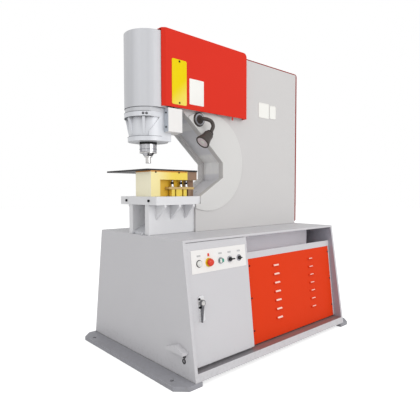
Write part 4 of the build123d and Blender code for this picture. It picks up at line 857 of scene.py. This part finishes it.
# Dark joint lines round the head; those on the flanges stop at the head's flat sides
headSeams = {
    "noseSeam": {"outer": 0.1128, "inner": 0.1090, "height": 0.0016, "level": 1.2278, "reach": 0.2},
    "flangeSeam": {"outer": 0.1306, "inner": 0.1250, "height": 0.0014, "level": 1.3553, "reach": 0.1123},
    "flangeFootSeam": {"outer": 0.1300, "inner": 0.1180, "height": 0.0014, "level": 1.3287, "reach": 0.1123},
    "coverSeam": {"outer": 0.1284, "inner": 0.1240, "height": 0.0016, "level": 1.3795, "reach": 0.1123},
}
seamSides = 96
for name, values in headSeams.items():
    ring = addRing(
        name, values["outer"], values["inner"], values["height"], (0, 0, 0), "up", "seamGrey", "frame",
        seamSides,
    )
    bpy.ops.object.mode_set(mode="EDIT")
    for side in (1, -1):
        bpy.ops.mesh.select_all(action="SELECT")
        bpy.ops.mesh.bisect(
            plane_co=(0, side * values["reach"], 0), plane_no=(0, side, 0), use_fill=True, clear_outer=True,
            threshold=nearly,
        )
    settle(ring, (headX, 0, values["level"]), "up", "seamGrey", "frame")
print("head seams drawn")

# Rings of the ram's nut and punch
ramRings = {
    "nutTopRing": {
        "outer": 0.0492, "inner": 0.0440, "height": 0.0035, "level": 1.1855, "finish": "brightSteel",
    },
    "nutMiddleRing": {
        "outer": 0.0486, "inner": 0.0420, "height": 0.0030, "level": 1.1640, "finish": "toolSteel",
    },
    "nutLowRing": {
        "outer": 0.0484, "inner": 0.0400, "height": 0.0045, "level": 1.1450, "finish": "chrome",
    },
    "punchCollar": {
        "outer": 0.0225, "inner": 0.0158, "height": 0.0045, "level": 1.1226, "finish": "chrome",
    },
}
ramSides = 64
for name, values in ramRings.items():
    place = (headX, 0, values["level"])
    addRing(
        name, values["outer"], values["inner"], values["height"], place, "up", values["finish"], "ram",
        ramSides,
    )
print("ram rings turned")

# Amber strip along the top of the die block, under the table's edge: painted shade
underTableShade = {
    "height": 0.0064, "corner": 0.001, "thick": 0.0010,
    "sides": {
        "underTableShadeNear": {"length": 0.252, "place": (-0.497, -0.076, 1.0405), "facing": "near"},
        "underTableShadeFront": {"length": 0.150, "place": (-0.624, 0, 1.0405), "facing": "front"},
    },
}
for name, values in underTableShade["sides"].items():
    addPlate(
        name, (values["length"], underTableShade["height"]), underTableShade["corner"], underTableShade["thick"], values["place"],
        values["facing"], "underTableShadePaint", "frame",
    )
print("shim laid")

# Black caps on the clamp studs, with their pale washers
studCaps = {
    "places": (-0.464, -0.401, -0.362), "y": -0.056, "capLevel": 0.9705, "washerLevel": 0.9540,
    "capSides": 6, "capSmooth": 20,
    "cap": (
        (0.0088, 0), (0.0092, 0.0012), (0.0092, 0.011), (0.0070, 0.0125), (0.0070, 0.0215), (0.0056, 0.0230),
    ),
    "washer": ((0.0118, 0), (0.0124, 0.0008), (0.0124, 0.0034), (0.0116, 0.0042)),
}
studX, studY = studCaps["places"][0], studCaps["y"]
studCap = addTurned(
    "studCap0", studCaps["cap"], (studX, studY, studCaps["capLevel"]), "up", "blackOxide", "frame",
    studCaps["capSides"], studCaps["capSmooth"],
)
studWasher = addTurned(
    "studWasher0", studCaps["washer"], (studX, studY, studCaps["washerLevel"]), "up", "chrome", "frame"
)
for index, x in enumerate(studCaps["places"][1:], 1):
    again(studCap, f"studCap{index}", (x - studX, 0, 0), "frame")
    again(studWasher, f"studWasher{index}", (x - studX, 0, 0), "frame")
print("stud caps fitted")

# Lamp trim: two rings on its base, then collars, a rim and a white dome of painted highlight on the lens,
# along the head's axis from its ball
lampTrim = {
    "face": (-0.315, -0.128, 1.347),
    "ball": (-0.279, -0.1843, 1.273),
    "baseRings": {
        "lampSilverRing": {"outer": 0.0345, "inner": 0.0262, "height": 0.0030, "finish": "pipeSteel"},
        "lampInnerRing": {"outer": 0.0240, "inner": 0.0180, "height": 0.0050, "finish": "lampPaint"},
    },
    "headRings": {
        "lampCollar0": {"outer": 0.0222, "inner": 0.0165, "height": 0.0022, "along": 0.0110},
        "lampCollar1": {"outer": 0.0222, "inner": 0.0165, "height": 0.0022, "along": 0.0150},
        "lampCollar2": {"outer": 0.0222, "inner": 0.0165, "height": 0.0022, "along": 0.0190},
        "lampRim": {"outer": 0.0418, "inner": 0.0364, "height": 0.0072, "along": 0.0905},
    },
    "glintDome": ((0.0150, 0), (0.0150, 0.0008), (0.0120, 0.0030), (0.0060, 0.0042)),
    "glintDomeAlong": 0.0890,
}


def alongLamp(distance):
    x, y, z = lampTrim["ball"]
    return (x - distance * math.sqrt(0.5), y, z - distance * math.sqrt(0.5))


for name, values in lampTrim["baseRings"].items():
    addRing(
        name, values["outer"], values["inner"], values["height"], lampTrim["face"], "near", values["finish"],
        "frame",
    )
for name, values in lampTrim["headRings"].items():
    place = alongLamp(values["along"])
    addRing(
        name, values["outer"], values["inner"], values["height"], place, "lamp", "lampPaint", "lamp_head"
    )
addTurned(
    "lampGlintDome", lampTrim["glintDome"], alongLamp(lampTrim["glintDomeAlong"]), "lamp", "whitePlastic", "lamp_head"
)
print("lamp trimmed")

# Pale strips on the louvres: painted highlights where their pressed lips catch the light
louvreGlints = {
    "columns": ({"x": 0.052, "size": (0.047, 0.0100)}, {"x": 0.413, "size": (0.036, 0.0052)}),
    "corner": 0.3, "thick": 0.0012, "firstDrop": 0.1892, "seat": -0.0193, "pitch": 0.05196, "rows": 7,
}
for column, values in enumerate(louvreGlints["columns"]):
    first = doorPoint(values["x"], louvreGlints["firstDrop"], louvreGlints["seat"])
    glintStrip = addPlate(
        f"louvreGlint{column}0", values["size"], values["size"][1] * louvreGlints["corner"], louvreGlints["thick"],
        first, "louvre", "glintPaint", "frame",
    )
    for row in range(1, louvreGlints["rows"]):
        lower = doorPoint(values["x"], louvreGlints["firstDrop"] + row * louvreGlints["pitch"], louvreGlints["seat"])
        again(glintStrip, f"louvreGlint{column}{row}", Vector(lower) - Vector(first), "frame")
print("louvre lips pressed")

# Door handle: its rose, the cap on its spindle and two black screws beside it, which also stand for the
# painted shade at the hub's left
handle = {
    "x": -0.578, "drop": 0.299,
    "rose": {"outer": 0.0192, "inner": 0.0155, "height": 0.0070, "lift": 0.005},
    "cap": ((0.0118, 0), (0.0118, 0.0012), (0.0100, 0.0030), (0.0040, 0.0034)),
    "capLift": 0.0190,
    "screw": {"radius": 0.0062, "height": 0.004, "aside": 0.0125, "rises": (0.0203, -0.0203), "lift": 0.005},
}
rose, screw = handle["rose"], handle["screw"]
addRing(
    "handleRose", rose["outer"], rose["inner"], rose["height"],
    doorPoint(handle["x"], handle["drop"], rose["lift"]), "door", "chrome", "door",
)
addTurned(
    "handleCap", handle["cap"], doorPoint(handle["x"], handle["drop"], handle["capLift"]), "door", "chrome",
    "door_handle",
)
for index, up in enumerate(screw["rises"]):
    place = doorPoint(handle["x"] - screw["aside"], handle["drop"] + up, screw["lift"])
    addScrew(f"handleShadeScrew{index}", screw["radius"], screw["height"], place, "door", "blackOxide", "door")
print("door handle dressed")

# Two halves of the start button's cap
startHalves = {
    "size": (0.0130, 0.0195), "corner": 0.0048, "thick": 0.0022, "rim": 0.0012, "lift": 0.0139,
    "halves": {
        "startHalfWhite": {"aside": -0.0071, "finish": "whitePlastic"},
        "startHalfGreen": {"aside": 0.0071, "finish": "tealPlastic"},
    },
}
for name, values in startHalves["halves"].items():
    place = doorPoint(controls["places"]["start"] + values["aside"], controls["drop"], startHalves["lift"])
    addPlate(
        name, startHalves["size"], startHalves["corner"], startHalves["thick"], place, "door",
        values["finish"], "start_button", startHalves["rim"],
    )
print("start button halved")

# Small fasteners, each kind modelled once: its first place, and the steps to the others
fasteners = {
    "blockScrew": {
        "radius": 0.0050, "height": 0.003, "place": (-0.592, -0.076, 1.036), "facing": "near",
        "steps": [(0, 0, 0), (0.162, 0, 0)],
    },
    "farScrew": {
        "radius": 0.0070, "height": 0.004, "place": (-0.62, 0.4845, 0.10), "facing": "far",
        "steps": [(x, -0.148 * up, up) for x in (0, 0.41, 0.83, 1.24) for up in (0, 0.27, 0.54)],
    },
    "backScrew": {
        "radius": 0.0055, "height": 0.003, "place": (0.648, -0.088, 0.76), "facing": "rear",
        "steps": [(0, aside, up) for aside in (0, 0.176) for up in (0, 0.32, 0.64, 0.96)],
    },
}
for name, values in fasteners.items():
    fastener = addScrew(
        name + "0", values["radius"], values["height"], values["place"], values["facing"], "blackOxide",
        "frame",
    )
    for index, step in enumerate(values["steps"][1:], 1):
        again(fastener, f"{name}{index}", step, "frame")

# Gland rings round the cable holes
gland = {"outer": 0.0130, "inner": 0.0088, "height": 0.004, "place": (-0.669, -0.414, 0.132), "drop": 0.028}
glandRing = addRing(
    "glandRing0", gland["outer"], gland["inner"], gland["height"], gland["place"], "front", "blackOxide",
    "frame",
)
again(glandRing, "glandRing1", (0, 0, -gland["drop"]), "frame")
print("small fasteners fitted")

# Peg under the red cover
coverPeg = {
    "steps": ((0.0040, 0), (0.0046, -0.002), (0.0046, -0.014), (0.0034, -0.018)),
    "place": (-0.057, -0.140, 1.388),
}
addTurned("coverPeg", coverPeg["steps"], coverPeg["place"], "up", "redPaint", "frame")
print("cover peg turned")

# Faces of the switchgear behind the door
gear = {
    "count": 6, "firstX": -0.5655, "pitch": 0.053, "front": -0.318,
    "faceCorner": 0.003, "faceThick": 0.004, "faceRim": 0.004, "markCorner": 0.002, "markThick": 0.007,
    "screw": {"radius": 0.0036, "height": 0.002, "aside": -0.014, "up": 0.034},
    "rows": {
        "breaker": {
            "level": 0.5638, "size": (0.036, 0.040), "finish": "whitePlastic", "markSize": (0.012, 0.016),
            "markFinish": "blackPlastic",
        },
        "contactor": {
            "level": 0.4242, "size": (0.034, 0.030), "finish": "gearGrey", "markSize": (0.018, 0.008),
            "markFinish": "whitePlastic",
        },
        "relay": {
            "level": 0.2416, "size": (0.034, 0.044), "finish": "whitePlastic", "markSize": (0.020, 0.010),
            "markFinish": "greenPlastic",
        },
    },
}
for name, values in gear["rows"].items():
    place = (gear["firstX"], gear["front"], values["level"])
    face = addPlate(
        name + "Face0", values["size"], gear["faceCorner"], gear["faceThick"], place, "near", values["finish"],
        "frame", gear["faceRim"],
    )
    mark = addPlate(
        name + "Mark0", values["markSize"], gear["markCorner"], gear["markThick"], place, "near",
        values["markFinish"], "frame",
    )
    screw = gear["screw"]
    screwPlace = (gear["firstX"] + screw["aside"], gear["front"], values["level"] + screw["up"])
    head = addScrew(
        name + "Screw0", screw["radius"], screw["height"], screwPlace, "near", "brightSteel", "frame"
    )
    for index in range(1, gear["count"]):
        step = (index * gear["pitch"], 0, 0)
        again(face, f"{name}Face{index}", step, "frame")
        again(mark, f"{name}Mark{index}", step, "frame")
        again(head, f"{name}Screw{index}", step, "frame")
print("switchgear dressed")

# White studio floor; lift is the glow that only the camera sees
floorValues = {"size": 40, "colour": (0.86, 0.86, 0.86, 1), "glow": (1, 1, 1, 1), "lift": 0.55}


def addFloor(values):
    floor = newPiece("studioFloor", "plane", size=values["size"])
    surface = Surface("floorPaint")
    paint = surface.add("ShaderNodeBsdfDiffuse", {}, {"Color": values["colour"]})
    glow = surface.add("ShaderNodeEmission", {}, {"Color": values["glow"], "Strength": values["lift"]})
    both = surface.add("ShaderNodeAddShader", {}, {0: paint, 1: glow})
    seen = surface.add("ShaderNodeLightPath", output="Is Camera Ray")
    shown = surface.add("ShaderNodeMixShader", {}, {0: seen, 1: paint, 2: both})
    surface.add("ShaderNodeOutputMaterial", {}, {"Surface": shown})
    floor.data.materials.append(surface.material)


addFloor(floorValues)
